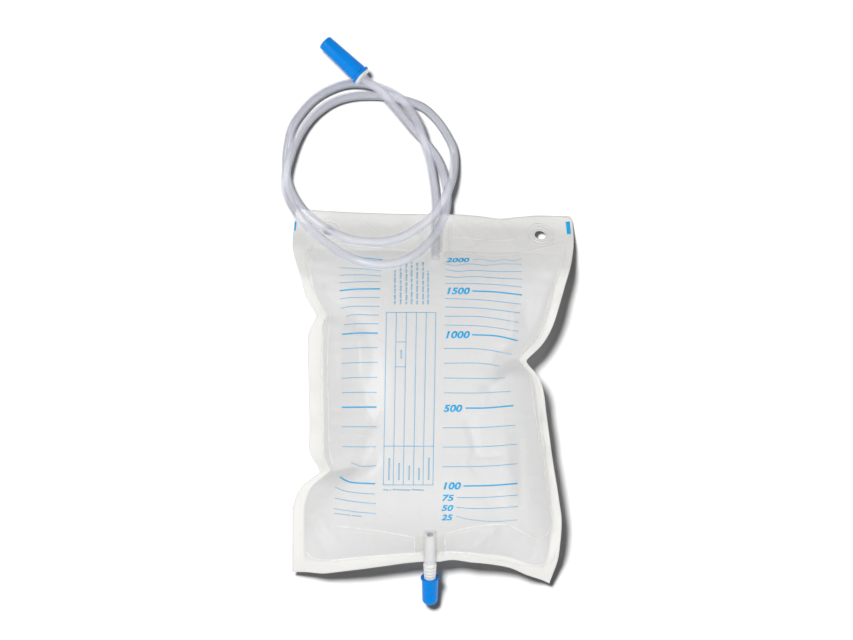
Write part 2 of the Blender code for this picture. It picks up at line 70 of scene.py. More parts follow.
# Numbers
def smooth_through(stations: Sequence[Point], at: np.ndarray) -> np.ndarray:
    """Reads a curve through stations that never overshoots them.

    Args:
        stations: (place, value) pairs in rising order of place.
        at: Places to read.

    Returns:
        The curve's value at each place.
    """
    place, value = np.array(stations, float).T
    slope = np.diff(value) / np.diff(place)
    tangent = np.concatenate([slope[:1], np.zeros(len(slope) - 1), slope[-1:]])
    before, after = slope[:-1], slope[1:]
    same_way = before * after > 0
    mean = 2 * before * after / np.where(same_way, before + after, 1.0)
    tangent[1:-1] = np.where(same_way, mean, 0.0)
    at = np.clip(at, place[0], place[-1])
    i = np.clip(np.searchsorted(place, at, side="right") - 1, 0, len(slope) - 1)
    step = place[i + 1] - place[i]
    u = (at - place[i]) / step
    rise = value[i] + (value[i + 1] - value[i]) * u * u * (3 - 2 * u)
    return rise + step * u * (1 - u) * (tangent[i] * (1 - u) - tangent[i + 1] * u)


def ease(value: np.ndarray) -> np.ndarray:
    """Smooth step from 0 to 1."""
    value = np.clip(value, 0.0, 1.0)
    return value * value * (3 - 2 * value)


def rising(value: np.ndarray, limits: Point) -> np.ndarray:
    """Smooth step from 0 at the first limit to 1 once the second is added to it."""
    return ease((value - limits[0]) / limits[1])


def spaced(low: float, high: float, count: int, dense: Sequence[Triple]) -> np.ndarray:
    """Spreads places over a range, closer together where detail needs it.

    Args:
        low: Start of the range.
        high: End of the range.
        count: Number of places.
        dense: (place, half width, extra density) of each stretch that needs more.

    Returns:
        The places, in rising order.
    """
    fine = np.linspace(low, high, 4001)
    density = np.ones_like(fine)
    for place, half_width, extra in dense:
        density += extra * np.exp(-(((fine - place) / half_width) ** 2))
    share = np.concatenate([[0.0], np.cumsum((density[1:] + density[:-1]) / 2)])
    return np.interp(np.linspace(0, share[-1], count), share, fine)


def smooth_curve(points: Sequence[Sequence[float]], per_span: int) -> np.ndarray:
    """Runs a smooth curve through points.

    Args:
        points: The points, in any number of dimensions.
        per_span: Number of samples in each span.

    Returns:
        The samples, one row each, with the last point at the end.
    """
    points = np.array(points, float)
    padded = np.vstack([2 * points[0] - points[1], points, 2 * points[-1] - points[-2]])
    fine = []
    for a, b, c, d in zip(padded, padded[1:], padded[2:], padded[3:]):
        u = np.linspace(0, 1, per_span, endpoint=False)[:, None]
        bend = 2 * a - 5 * b + 4 * c - d
        curl = 3 * b - a - 3 * c + d
        fine.append(0.5 * (2 * b + (c - a) * u + bend * u**2 + curl * u**3))
    return np.vstack([*fine, points[-1:]])


def evenly(points: np.ndarray, count: int, axes: int) -> np.ndarray:
    """Spreads samples of a line at even distances.

    Args:
        points: The line, one row for each point.
        count: Number of samples.
        axes: How many of the leading columns count as distance.

    Returns:
        The samples.
    """
    along = run_length(points[:, :axes])
    at = np.linspace(0, along[-1], count)
    return np.stack([np.interp(at, along, points[:, k]) for k in range(points.shape[1])], axis=1)


def run_length(points: np.ndarray) -> np.ndarray:
    """Distance along a line at each of its points."""
    return np.concatenate([[0.0], np.cumsum(np.linalg.norm(np.diff(points, axis=0), axis=1))])


def drawn(route: Sequence[Point]) -> np.ndarray:
    """A route given in millimetres, as a smooth line in metres."""
    line = smooth_curve(route, 8) if len(route) > 2 else np.array(route, float)
    return line * MM


# Shape of the filled bag
class FoldForm(Enum):
    """Cross-section of a fold in the film."""

    CREST = "crest"
    SOFT = "soft"


@dataclass(frozen=True)
class Buckle:
    """A place where the filled bag pulls its side in; sizes are shares of half width and length."""

    side: int
    along: float
    depth: float
    half_length: float


@dataclass(frozen=True)
class WideFold:
    """A wide fold over (s, t): the share of height lost, or gained below 0, and its half width."""

    start: Point
    end: Point
    share: float
    half_width: float


@dataclass(frozen=True)
class Swell:
    """How a film fills: where it is full along the bag, and how squarely its ends and sides fall."""

    full_from: float
    full_to: float
    end_power: float
    side_power: float


@dataclass(frozen=True)
class Wave:
    """A wave with a pitch that wanders; sizes in metres."""

    pitch: float
    wander: float
    wander_pitch: float

    def at(self, place: np.ndarray, shift: np.ndarray, lag: np.ndarray | float = 0.0) -> np.ndarray:
        """The wave's value, from -1 to 1, with its phase moved on and its wander moved by a lag."""
        wander = self.wander * np.sin(place / self.wander_pitch + lag)
        return np.sin(place / self.pitch + wander + shift)


@dataclass(frozen=True)
class Fold:
    """A fold of the upper film along a line in plan, in millimetres; a valley has a height below 0."""

    route: Route
    height: float
    half_width: float
    form: FoldForm = FoldForm.SOFT
    fade: float = 0.35
    end_share: float = 0.15
    blunt: float = 0.25

    def rise(self, x: np.ndarray, y: np.ndarray) -> np.ndarray:
        """Height of the fold over places in plan.

        Args:
            x: Places across the bag, in metres.
            y: Places along the bag, in metres.

        Returns:
            What the fold adds to the film's height, in metres.
        """
        line = drawn(self.route)
        along = run_length(line)
        off = np.full(x.shape, np.inf)
        at = np.zeros(x.shape)
        for a, b, start, length in zip(line, line[1:], along, np.diff(along)):
            run = (b - a) / length
            u = np.clip((x - a[0]) * run[0] + (y - a[1]) * run[1], 0.0, length)
            distance = np.hypot(x - a[0] - u * run[0], y - a[1] - u * run[1])
            at = np.where(distance < off, start + u, at)
            off = np.minimum(distance, off)
        share = at / along[-1]
        fade = ease(share / self.fade) * ease((1 - share) / self.fade)
        across = off / (self.half_width * MM)
        if self.form is FoldForm.CREST:
            profile = np.exp(self.blunt - np.sqrt(across**2 + self.blunt**2))
        else:
            profile = np.exp(-(across**2))
        return self.height * MM * (self.end_share + (1 - self.end_share) * fade) * profile


@dataclass(frozen=True)
class BagShape:
    """The filled bag over (s, t): s runs -1 to 1 across, t runs 0 to 1 up from the bottom edge."""

    width: float = 0.206
    length: float = 0.2545
    bottom: float = -0.113
    side_weld: float = 0.0085
    bottom_weld: float = 0.0073
    hanging_strip: float = 0.0275
    crown_height: float = 0.076
    seam_height: float = 0.035
    film_gap: float = 0.00006
    tent_gap: float = 0.00048
    cad_film: float = 0.0004
    inlet_x: float = 0.0021
    inlet_radius: float = 0.00335
    outlet_x: float = -0.0024
    outlet_radius: float = 0.0042
    outlet_dip: float = math.radians(35.0)
    low_left: float = 0.0075
    low_right: float = 0.0160
    high_left: float = 0.0040
    high_right: float = -0.0015
    low_hem_reach: float = 0.06
    high_hem_reach: float = 0.07
    buckle_from: float = 0.42
    buckle_lift: float = 0.20
    wide_fold_reach: float = 1.25
    upper_swell: Swell = Swell(0.290, 0.407, 2.2, 2.4)
    lower_swell: Swell = Swell(0.250, 0.520, 3.0, 3.0)
    end_round: float = 0.8
    side_round: float = 0.7
    lower_depth: float = 1.12
    inlet_cover: float = 0.050
    outlet_cover: float = 0.105
    margin_wave: Wave = Wave(0.0052, 1.7, 0.019)
    side_wave: Wave = Wave(0.0058, 1.5, 0.017)
    wave_heights: Triple = (0.0007, 0.0009, 0.0006)
    end_pucker: Wave = Wave(0.0019, 1.9, 0.0071)
    side_pucker: Wave = Wave(0.0023, 2.1, 0.0083)
    pucker_heights: Triple = (0.00055, 0.00045, 0.00050)
    pucker_reaches: Triple = (0.016, 0.014, 0.010)
    pucker_fade: float = 0.006
    window_power: int = 8
    outlet_window: Triple = (0.0049, 0.0240, 0.003)
    inlet_window: Triple = (0.0042, 0.2195, 0.002)
    inlet_window_x: float = 0.001
    fold_limit: float = 1.02
    fold_fade: float = 0.10
    strip_rise: float = 0.05
    low_rise: float = 0.05
    side_calm: Point = (0.86, 0.14)
    inlet_calm: Point = (0.010, 0.020)
    outlet_calm: Point = (0.012, 0.020)
    gather_calm: Point = (0.008, 0.014)
    gather_bend: Point = (0.6, 0.006)
    side_blend: float = 0.03
    low_blend: float = 0.016
    high_blend: Point = (-0.050, 0.066)
    pad_x_mm: Point = (-13.8, 9.2)
    pad_y_mm: Point = (-109.0, -93.8)
    pad_fade_mm: float = 0.8
    left_edge: Route = (
        (0.00, 1.000), (0.16, 1.000), (0.21, 0.980), (0.30, 0.905), (0.40, 0.880), (0.63, 0.895),
        (0.71, 0.900), (0.80, 0.936), (0.90, 1.000), (1.00, 0.976),
    )
    right_edge: Route = (
        (0.00, 0.826), (0.08, 0.895), (0.17, 0.914), (0.23, 0.895), (0.37, 0.838), (0.55, 0.790),
        (0.65, 0.815), (0.72, 0.870), (0.80, 0.930), (0.88, 0.986), (0.93, 1.000), (0.985, 0.990),
        (1.00, 0.971),
    )
    left_weld: Route = (
        (0.00, 1.00), (0.28, 1.00), (0.34, 1.45), (0.64, 1.45), (0.70, 1.00), (1.00, 1.00),
    )
    low_hem_mm: Route = (
        (-103, 0.0), (-93, -1.5), (-78, -4.2), (-58, -3.7), (-34, -2.2), (-20, -0.8), (-6, 0.0),
        (3, 0.0), (14, 1.4), (30, 0.0), (55, 0.0), (69, -1.6), (85, 0.0), (103, 0.0),
    )
    high_hem_mm: Route = (
        (-103, 0.0), (15, 0.0), (33, -1.1), (50, -2.9), (62, -1.5), (80, 0.0), (103, 0.0),
    )
    seam_line: Route = (
        (0.00, 0.914), (0.0287, 1.060), (0.08, 1.050), (0.25, 1.000), (0.80, 1.000), (0.85, 0.943),
        (0.892, 0.771), (0.932, 0.500), (0.971, 0.243), (1.00, 0.150),
    )
    side_droop: Route = (
        (0.00, 0.66), (0.05, 0.48), (0.13, 0.20), (0.25, 0.06), (0.75, 0.06), (0.90, 0.30),
        (1.00, 0.68),
    )
    buckles: tuple[Buckle, ...] = (
        Buckle(+1, 0.606, 0.136, 0.0393), Buckle(-1, 0.708, 0.073, 0.0334),
        Buckle(-1, 0.277, 0.121, 0.0334),
    )
    wide_folds: tuple[WideFold, ...] = (
        WideFold((0.92, 0.606), (0.52, 0.570), 0.30, 0.0295),
        WideFold((-0.92, 0.708), (-0.58, 0.680), 0.22, 0.0255),
        WideFold((-0.92, 0.277), (-0.50, 0.300), 0.30, 0.0275),
        WideFold((0.62, 0.060), (0.44, 0.190), 0.16, 0.0275),
        WideFold((-0.70, 0.070), (-0.50, 0.200), 0.16, 0.0275),
        WideFold((-0.66, 0.700), (-0.58, 0.470), -0.07, 0.0240),
        WideFold((-0.76, 0.660), (-0.74, 0.440), 0.06, 0.0200),
        WideFold((-0.60, 0.285), (-0.47, 0.420), -0.07, 0.0190),
        WideFold((0.80, 0.560), (0.45, 0.480), -0.06, 0.0190),
        WideFold((0.68, 0.640), (0.66, 0.760), -0.06, 0.0200),
        WideFold((0.62, 0.360), (0.62, 0.120), -0.05, 0.0220),
        WideFold((0.30, 0.400), (0.42, 0.230), 0.05, 0.0190),
    )
    folds: tuple[Fold, ...] = (
        Fold(((-61, 68), (-54, 44), (-54, 12)), 2.4, 6.0),
        Fold(((-68, 62), (-66, 34), (-68, 6)), -1.6, 5.0),
        Fold(((-50, 14), (-49, 0), (-50, -12)), 1.0, 4.5),
        Fold(((-43, -8), (-45, -27), (-54, -41)), 2.2, 3.4, FoldForm.CREST),
        Fold(((-52, -46), (-62, -44), (-72, -46)), -1.4, 2.6, FoldForm.CREST),
        Fold(((-56, -36), (-66, -36), (-76, -42)), 1.2, 2.2, FoldForm.CREST),
        Fold(((66, 35), (53, 33), (39, 20)), -2.6, 4.2),
        Fold(((68, 40), (58, 46), (46, 46)), 1.3, 3.0, FoldForm.CREST),
        Fold(((66, 29), (54, 24), (38, 12)), 1.8, 3.6, FoldForm.CREST),
        Fold(((39, 18), (36, 4), (35, -6)), 1.8, 4.4),
        Fold(((26, -4), (31, -28), (28, -41), (37, -54)), -1.5, 3.0),
        Fold(((53, -22), (54, -52), (53, -84)), 1.5, 4.6),
        Fold(((62, -10), (64, -44), (64, -76)), -1.2, 3.6),
        Fold(((29, -36), (42, -36), (55, -34)), -0.9, 2.2, FoldForm.CREST),
        Fold(((57, 78), (58, 66), (57, 50)), 1.7, 3.4, FoldForm.CREST),
        Fold(((70, 84), (68, 66), (70, 52)), -1.2, 4.0),
        Fold(((-94, -79), (-85, -95), (-74, -112)), 2.0, 3.0, FoldForm.CREST),
        Fold(((-86, -72), (-78, -88), (-66, -104)), -1.4, 3.4),
        Fold(((51, -85), (37, -97), (23, -110)), 2.0, 3.0, FoldForm.CREST),
        Fold(((58, -84), (66, -92), (78, -97)), 1.5, 2.4, FoldForm.CREST),
        Fold(((-71, -87), (-39, -90.7), (-13.3, -95.3)), -1.1, 2.0, FoldForm.CREST),
        Fold(((8.7, -92.5), (27, -88), (47.2, -85.6)), -1.1, 2.0, FoldForm.CREST),
        Fold(((13, 138), (25, 126), (37, 114)), 1.2, 1.8, FoldForm.CREST),
        Fold(((20, 117), (30, 120), (42, 131)), -0.8, 1.8, FoldForm.CREST),
        Fold(((-24, 138), (-18, 130), (-11, 122)), 1.1, 2.2, FoldForm.CREST),
        Fold(((-40, 136), (-31, 128), (-27, 118)), -0.9, 2.2, FoldForm.CREST),
        Fold(((46, 136), (54, 128), (58, 118)), 0.7, 2.4),
        Fold(((88, 96), (80, 72), (76, 58)), 1.5, 3.8),
        Fold(((-84, 92), (-76, 80), (-66, 72)), 1.2, 3.2),
        Fold(((-66, -66), (-50, -70), (-32, -66)), 1.0, 5.0),
    )

    @property
    def low_weld(self) -> float:
        """The t at which the bottom weld ends."""
        return self.bottom_weld / self.length

    @property
    def high_weld(self) -> float:
        """The t at which the hanging strip begins."""
        return 1.0 - self.hanging_strip / self.length

    def side_share(self, s: np.ndarray, t: np.ndarray) -> np.ndarray:
        """The distance from the middle, in s, at which the side weld starts."""
        wide = np.where(s < 0, smooth_through(self.left_weld, t), 1.0)
        return 1.0 - wide * self.side_weld / (self.width / 2)

    def middle_x(self, t: np.ndarray) -> np.ndarray:
        """Place across the bag of the line from the outlet to the inlet."""
        return self.outlet_x + (self.inlet_x - self.outlet_x) * t

    def weld_sheet(self, s: np.ndarray, t: np.ndarray) -> np.ndarray:
        """Finds the surface along which both films are welded.

        Args:
            s: Places across.
            t: Places along.

        Returns:
            Points, with x, y and z on the last axis.
        """
        half = self.width / 2
        right = half * smooth_through(self.right_edge, t)
        left = half * smooth_through(self.left_edge, t)
        x = self.middle_x(t) * (1 - s * s) + s * (right + left) / 2 + s * s * (right - left) / 2
        low = self.bottom - np.where(s > 0, self.low_right * s**3, self.low_left * s * s)
        high = self.bottom + self.length + np.where(s > 0, self.high_right, self.high_left) * s * s
        y = low + (high - low) * t
        y = y + smooth_through(self.low_hem_mm, x / MM) * MM * ease(1 - t / self.low_hem_reach)
        y = y + smooth_through(self.high_hem_mm, x / MM) * MM * ease(1 - (1 - t) / self.high_hem_reach)
        lost = smooth_through(self.side_droop, t) * np.abs(s) ** 3
        z = self.seam_height * smooth_through(self.seam_line, t) * (1 - lost)
        for buckle in self.buckles:
            near = np.exp(-((np.abs(t - buckle.along) / buckle.half_length) ** 1.5))
            out = ease((buckle.side * s - self.buckle_from) / (1 - self.buckle_from))
            pull = buckle.depth * half * near * out
            x = x - buckle.side * pull
            z = z + self.buckle_lift * pull
        return np.stack([x, y, z], axis=-1)

    def sheet_normal(self, s: np.ndarray, t: np.ndarray) -> np.ndarray:
        """Finds the upward unit normal of the weld sheet.

        Args:
            s: Places across.
            t: Places along.

        Returns:
            Unit vectors on the last axis.
        """
        step = 1e-4
        across = self.weld_sheet(s + step, t) - self.weld_sheet(s - step, t)
        along = self.weld_sheet(s, t + step) - self.weld_sheet(s, t - step)
        normal = np.cross(across, along)
        return normal / np.linalg.norm(normal, axis=-1, keepdims=True)

    def fullness(self, across: np.ndarray, t: np.ndarray, swell: Swell) -> np.ndarray:
        """How full the bag is.

        Args:
            across: Distance from the middle, as a share of the way to the side weld.
            t: Places along.
            swell: How the film fills.

        Returns:
            0 at the welds, 1 over the full middle.
        """
        low = (swell.full_from - t) / (swell.full_from - self.low_weld)
        high = (t - swell.full_to) / (self.high_weld - swell.full_to)
        u = np.clip(np.maximum(low, high), 0.0, 1.0)
        ends = (1 - u**swell.end_power) ** self.end_round
        return ends * (1 - across**swell.side_power) ** self.side_round

    def fold_share(self, s: np.ndarray, t: np.ndarray) -> np.ndarray:
        """Share of the swell that the wide folds leave."""
        left = np.ones_like(s)
        size = np.array([self.width / 2, self.length])
        point = np.stack([s, t], axis=-1) * size
        for fold in self.wide_folds:
            a, b = np.array(fold.start) * size, np.array(fold.end) * size
            run = b - a
            u = np.clip(((point - a) @ run) / (run @ run), 0.0, 1.0)
            off = np.linalg.norm(point - a - u[..., None] * run, axis=-1) / self.length
            deep = ease(self.wide_fold_reach - u) * np.exp(-((off / fold.half_width) ** 2))
            left = left - fold.share * deep
        return left

    def tent(self, off: np.ndarray, radius: float) -> np.ndarray:
        """Height of the film over a tube's axis, off to one side: round, then straight flanks."""
        reach = radius + self.tent_gap
        flank = reach * math.sqrt(0.5)
        crown = np.sqrt(np.maximum(reach**2 - np.minimum(off, flank) ** 2, 0.0))
        return np.where(off > flank, 2 * flank - off, crown)

    def outlet_height(self, y: np.ndarray) -> np.ndarray:
        """Height of the outlet's axis over a place along the bag."""
        _, edge_y, edge_z = self.weld_sheet(np.zeros(1), np.zeros(1))[0]
        return edge_z + (y - edge_y) * math.tan(self.outlet_dip)

    def film(self, s: np.ndarray, t: np.ndarray, up: int) -> np.ndarray:
        """Finds the inner surface of a film.

        Args:
            s: Places across.
            t: Places along.
            up: 1 for the upper film, -1 for the lower one.

        Returns:
            Points, with x, y and z on the last axis.
        """
        sheet, normal = self.weld_sheet(s, t), self.sheet_normal(s, t)
        off = np.abs(sheet[..., 0] - self.middle_x(t))
        over_inlet = ease((t - self.high_weld) / self.inlet_cover + 1)
        stand_off = np.maximum(self.tent(off, self.inlet_radius), 0.0) * over_inlet
        surface = sheet + up * normal * (self.film_gap / 2 + stand_off)[..., None]
        surface[..., 2] += self.ripple(s, t)
        across = np.clip(np.abs(s) / self.side_share(s, t), 0.0, 1.0)
        if up > 0:
            swell = self.fullness(across, t, self.upper_swell) * self.fold_share(s, t)
            surface[..., 2] += (self.crown_height - self.cad_film - sheet[..., 2]) * swell
            inside = ease((self.fold_limit - across) / self.fold_fade)
            for fold in self.folds:
                surface[..., 2] += fold.rise(surface[..., 0], surface[..., 1]) * inside
            surface[..., 2] += self.gathers(s, t)
        else:
            swell = self.fullness(across, t, self.lower_swell)
            surface[..., 2] -= self.lower_depth * sheet[..., 2] * swell
            surface[..., 2] = np.maximum(surface[..., 2], self.cad_film)
        over_outlet = self.outlet_height(surface[..., 1])
        over_outlet += up * self.tent(off, self.outlet_radius) / math.cos(self.outlet_dip)
        draped = up * np.maximum(up * surface[..., 2], up * over_outlet)
        surface[..., 2] = np.where(t < self.outlet_cover, draped, surface[..., 2])
        return surface

    def ripple(self, s: np.ndarray, t: np.ndarray) -> np.ndarray:
        """How the welded margin waves up and down, away from the two tubes.

        Args:
            s: Places across.
            t: Places along.

        Returns:
            Heights in metres.
        """
        x, y = s * self.width / 2, t * self.length
        on_strip = ease((t - self.high_weld) / self.strip_rise)
        strip = on_strip * rising(np.abs(x), self.inlet_calm)
        sides = rising(np.abs(s), self.side_calm) * (1 - on_strip)
        low = ease(1 - t / self.low_rise) * rising(np.abs(x), self.outlet_calm)
        on_ends = self.margin_wave.at(x, 0.0, 9 * t)
        on_sides = self.side_wave.at(y, 2 * s)
        high_up, side_up, low_up = self.wave_heights
        return (high_up * strip + low_up * low) * on_ends + side_up * sides * on_sides

    def gathers(self, s: np.ndarray, t: np.ndarray) -> np.ndarray:
        """Small puckers of the filled film that run in from the welds.

        Args:
            s: Places across.
            t: Places along.

        Returns:
            Heights in metres.
        """
        x, y = s * self.width / 2, t * self.length
        from_side = self.side_share(s, t) * self.width / 2 - np.abs(x)
        swing, bend = self.gather_bend
        over_ends = self.end_pucker.at(x, swing * np.sin(y / bend)) * rising(np.abs(x), self.gather_calm)
        over_sides = self.side_pucker.at(y, np.sign(s))
        inside, puckers = 1.0, 0.0
        from_welds = (self.high_weld * self.length - y, y - self.bottom_weld, from_side)
        waves = (over_ends, over_ends, over_sides)
        sizes = zip(self.pucker_heights, self.pucker_reaches)
        for off, wave, (height, reach) in zip(from_welds, waves, sizes):
            off = np.maximum(off, 0.0)
            inside = inside * ease(off / self.pucker_fade)
            puckers = puckers + height * np.exp(-off / reach) * wave
        return inside * puckers

    def window_share(self, s: np.ndarray, t: np.ndarray) -> np.ndarray:
        """How closely the film lies on one of the tubes, where it looks clear.

        Args:
            s: Places across.
            t: Places along.

        Returns:
            1 on a tube, 0 away from both.
        """
        x, y = s * self.width / 2, t * self.length
        half_width, end, fade = self.outlet_window
        outlet = np.exp(-((x / half_width) ** self.window_power)) * ease((end - y) / fade)
        half_width, start, fade = self.inlet_window
        off = (x - self.inlet_window_x) / half_width
        inlet = np.exp(-(off**self.window_power)) * ease((y - start) / fade)
        return np.maximum(outlet, inlet)

    def pad_share(self, x: np.ndarray, y: np.ndarray) -> np.ndarray:
        """Where the two films are pressed with a fine grain beside the outlet.

        Args:
            x: Places across, in metres.
            y: Places along, in metres.

        Returns:
            1 on the pressed pad, 0 away from it.
        """
        share = 1.0
        fade = self.pad_fade_mm
        for place, (low, high) in ((x / MM, self.pad_x_mm), (y / MM, self.pad_y_mm)):
            share = share * ease((place - low) / fade) * ease((high - place) / fade)
        return share

    def weld_share(self, s: np.ndarray, t: np.ndarray) -> np.ndarray:
        """How far a place is in the welds.

        Args:
            s: Places across.
            t: Places along.

        Returns:
            0 inside the bag, 1 on the welded margin.
        """
        side = ease((np.abs(s) - self.side_share(s, t)) / self.side_blend + 0.5)
        low = ease((self.low_weld - t) / self.low_blend + 0.5)
        high = rising(t - self.high_weld, self.high_blend)
        return np.maximum(side, np.maximum(low, high))


# Node helpers
class Nodes:
    """A short way to lay out and link the nodes of one tree."""

    def __init__(self, tree: NodeTree) -> None:
        """Keeps the tree that the nodes go into."""
        self.tree = tree

    def feed(self, node: Node, sockets: dict[str, object]) -> None:
        """Sets or links a node's inputs.

        Args:
            node: The node.
            sockets: Inputs by name or number; an output is linked, anything else is a value.
        """
        for name, value in sockets.items():
            socket = node.inputs[int(name)] if name.isdigit() else node.inputs[name]
            if isinstance(value, NodeSocket):
                self.tree.links.new(value, socket)
            else:
                socket.default_value = value

    def add(self, kind: str, sockets: dict[str, object] | None = None, **values: object) -> Node:
        """Adds a node.

        Args:
            kind: Blender's identifier of the node.
            sockets: Its inputs, as feed takes them.
            values: Properties of the node itself.

        Returns:
            The new node.
        """
        node = self.tree.nodes.new(kind)
        for name, value in values.items():
            setattr(node, name, value)
        self.feed(node, sockets or {})
        return node

    def maths(self, operation: str, a: object, b: object) -> NodeSocket:
        """The result of one sum of two values or outputs."""
        return self.add("ShaderNodeMath", {"0": a, "1": b}, operation=operation).outputs[0]

    def mix(self, factor: object, a: object, b: object) -> NodeSocket:
        """Two colours or outputs mixed; the factor is the share of the second."""
        return self.add("ShaderNodeMix", {"0": factor, "6": a, "7": b}, data_type="RGBA").outputs[2]

    def noise(self, sockets: dict[str, object]) -> Node:
        """A noise texture over the piece's own place."""
        place = self.add("ShaderNodeTexCoord").outputs["Object"]
        return self.add("ShaderNodeTexNoise", {"Vector": place, **sockets})

    def attribute(self, name: str) -> NodeSocket:
        """The mesh's own value of that name."""
        return self.add("ShaderNodeAttribute", attribute_name=name).outputs["Fac"]

    def remap(self, value: object, given: tuple[float, float], low: object, high: object) -> NodeSocket:
        """Carries a value's given range over to the range from low to high."""
        ranges = {"From Min": given[0], "From Max": given[1], "To Min": low, "To Max": high}
        return self.add("ShaderNodeMapRange", {"Value": value, **ranges}).outputs["Result"]


def rgba(colour: Colour) -> tuple[float, ...]:
    """A colour with full strength."""
    return (*colour, 1.0)


def effect_group(name: str, inputs: dict[str, float], outputs: Sequence[str]) -> NodeTree:
    """Starts a shader node group with plain value sockets.

    Args:
        name: The group's name.
        inputs: Names and default values of the inputs.
        outputs: Names of the outputs.

    Returns:
        The group, with its input and output nodes in place.
    """
    group = bpy.data.node_groups.new(name, "ShaderNodeTree")
    for label, value in inputs.items():
        socket = group.interface.new_socket(label, in_out="INPUT", socket_type="NodeSocketFloat")
        socket.default_value = value
    for label in outputs:
        group.interface.new_socket(label, in_out="OUTPUT", socket_type="NodeSocketFloat")
    group.nodes.new("NodeGroupInput")
    group.nodes.new("NodeGroupOutput")
    return group


def mottle_group() -> NodeTree:
    """Builds the effect of uneven plastic: cloudy patches and a fine grain.

    Returns:
        A group with Patch (0 to 1), Grain (0 to 1) and Height (metres) outputs.
    """
    group = effect_group(
        "uneven_plastic",
        {"Patch Scale": 30.0, "Grain Scale": 900.0, "Patch Height": 0.0002, "Grain Height": 0.00001},
        ("Patch", "Grain", "Height"),
    )
    nodes = Nodes(group)
    given = group.nodes["Group Input"].outputs
    cloudy = {"Scale": given["Patch Scale"], "Detail": 3.0, "Distortion": 0.6}
    patch = nodes.noise(cloudy).outputs["Fac"]
    grain = nodes.noise({"Scale": given["Grain Scale"], "Detail": 2.0}).outputs["Fac"]
    low = nodes.maths("MULTIPLY", patch, given["Patch Height"])
    high = nodes.maths("MULTIPLY", grain, given["Grain Height"])
    height = nodes.maths("ADD", low, high)
    nodes.feed(group.nodes["Group Output"], {"Patch": patch, "Grain": grain, "Height": height})
    return group


def crinkle_group() -> NodeTree:
    """Builds the effect of handled film: faint creases of random straight facets.

    Returns:
        A group with a Height (metres) output.
    """
    group = effect_group("handled_film", {"Scale": 60.0, "Crease Height": 0.0001}, ("Height",))
    nodes = Nodes(group)
    given = group.nodes["Group Input"].outputs
    place = nodes.add("ShaderNodeTexCoord").outputs["Object"]
    bent = nodes.noise({"Scale": 25.0, "Detail": 1.0}).outputs["Color"]
    moved = nodes.add(
        "ShaderNodeVectorMath", {"0": bent, "1": (0.012, 0.012, 0.012)}, operation="MULTIPLY"
    ).outputs[0]
    warped = nodes.add("ShaderNodeVectorMath", {"0": place, "1": moved}, operation="ADD").outputs[0]
    cells = nodes.add(
        "ShaderNodeTexVoronoi", {"Vector": warped, "Scale": given["Scale"]}, feature="DISTANCE_TO_EDGE"
    ).outputs["Distance"]
    crease = nodes.add(
        "ShaderNodeMapRange",
        {"Value": cells, "From Min": 0.0, "From Max": 0.09, "To Min": 1.0, "To Max": 0.0},
        interpolation_type="SMOOTHSTEP",
    ).outputs["Result"]
    height = nodes.maths("MULTIPLY", crease, given["Crease Height"])
    nodes.feed(group.nodes["Group Output"], {"Height": height})
    return group


@dataclass(frozen=True)
class Effects:
    """The shared effects, built once."""

    mottle: NodeTree
    crinkle: NodeTree


WHITE = (1.0, 1.0, 1.0, 1.0)
FULL_RANGE = (0.0, 1.0)
PATCH_RANGE = (0.3, 0.7)
HOLLOW_SHADE_RANGE = (0.6, 1.0)


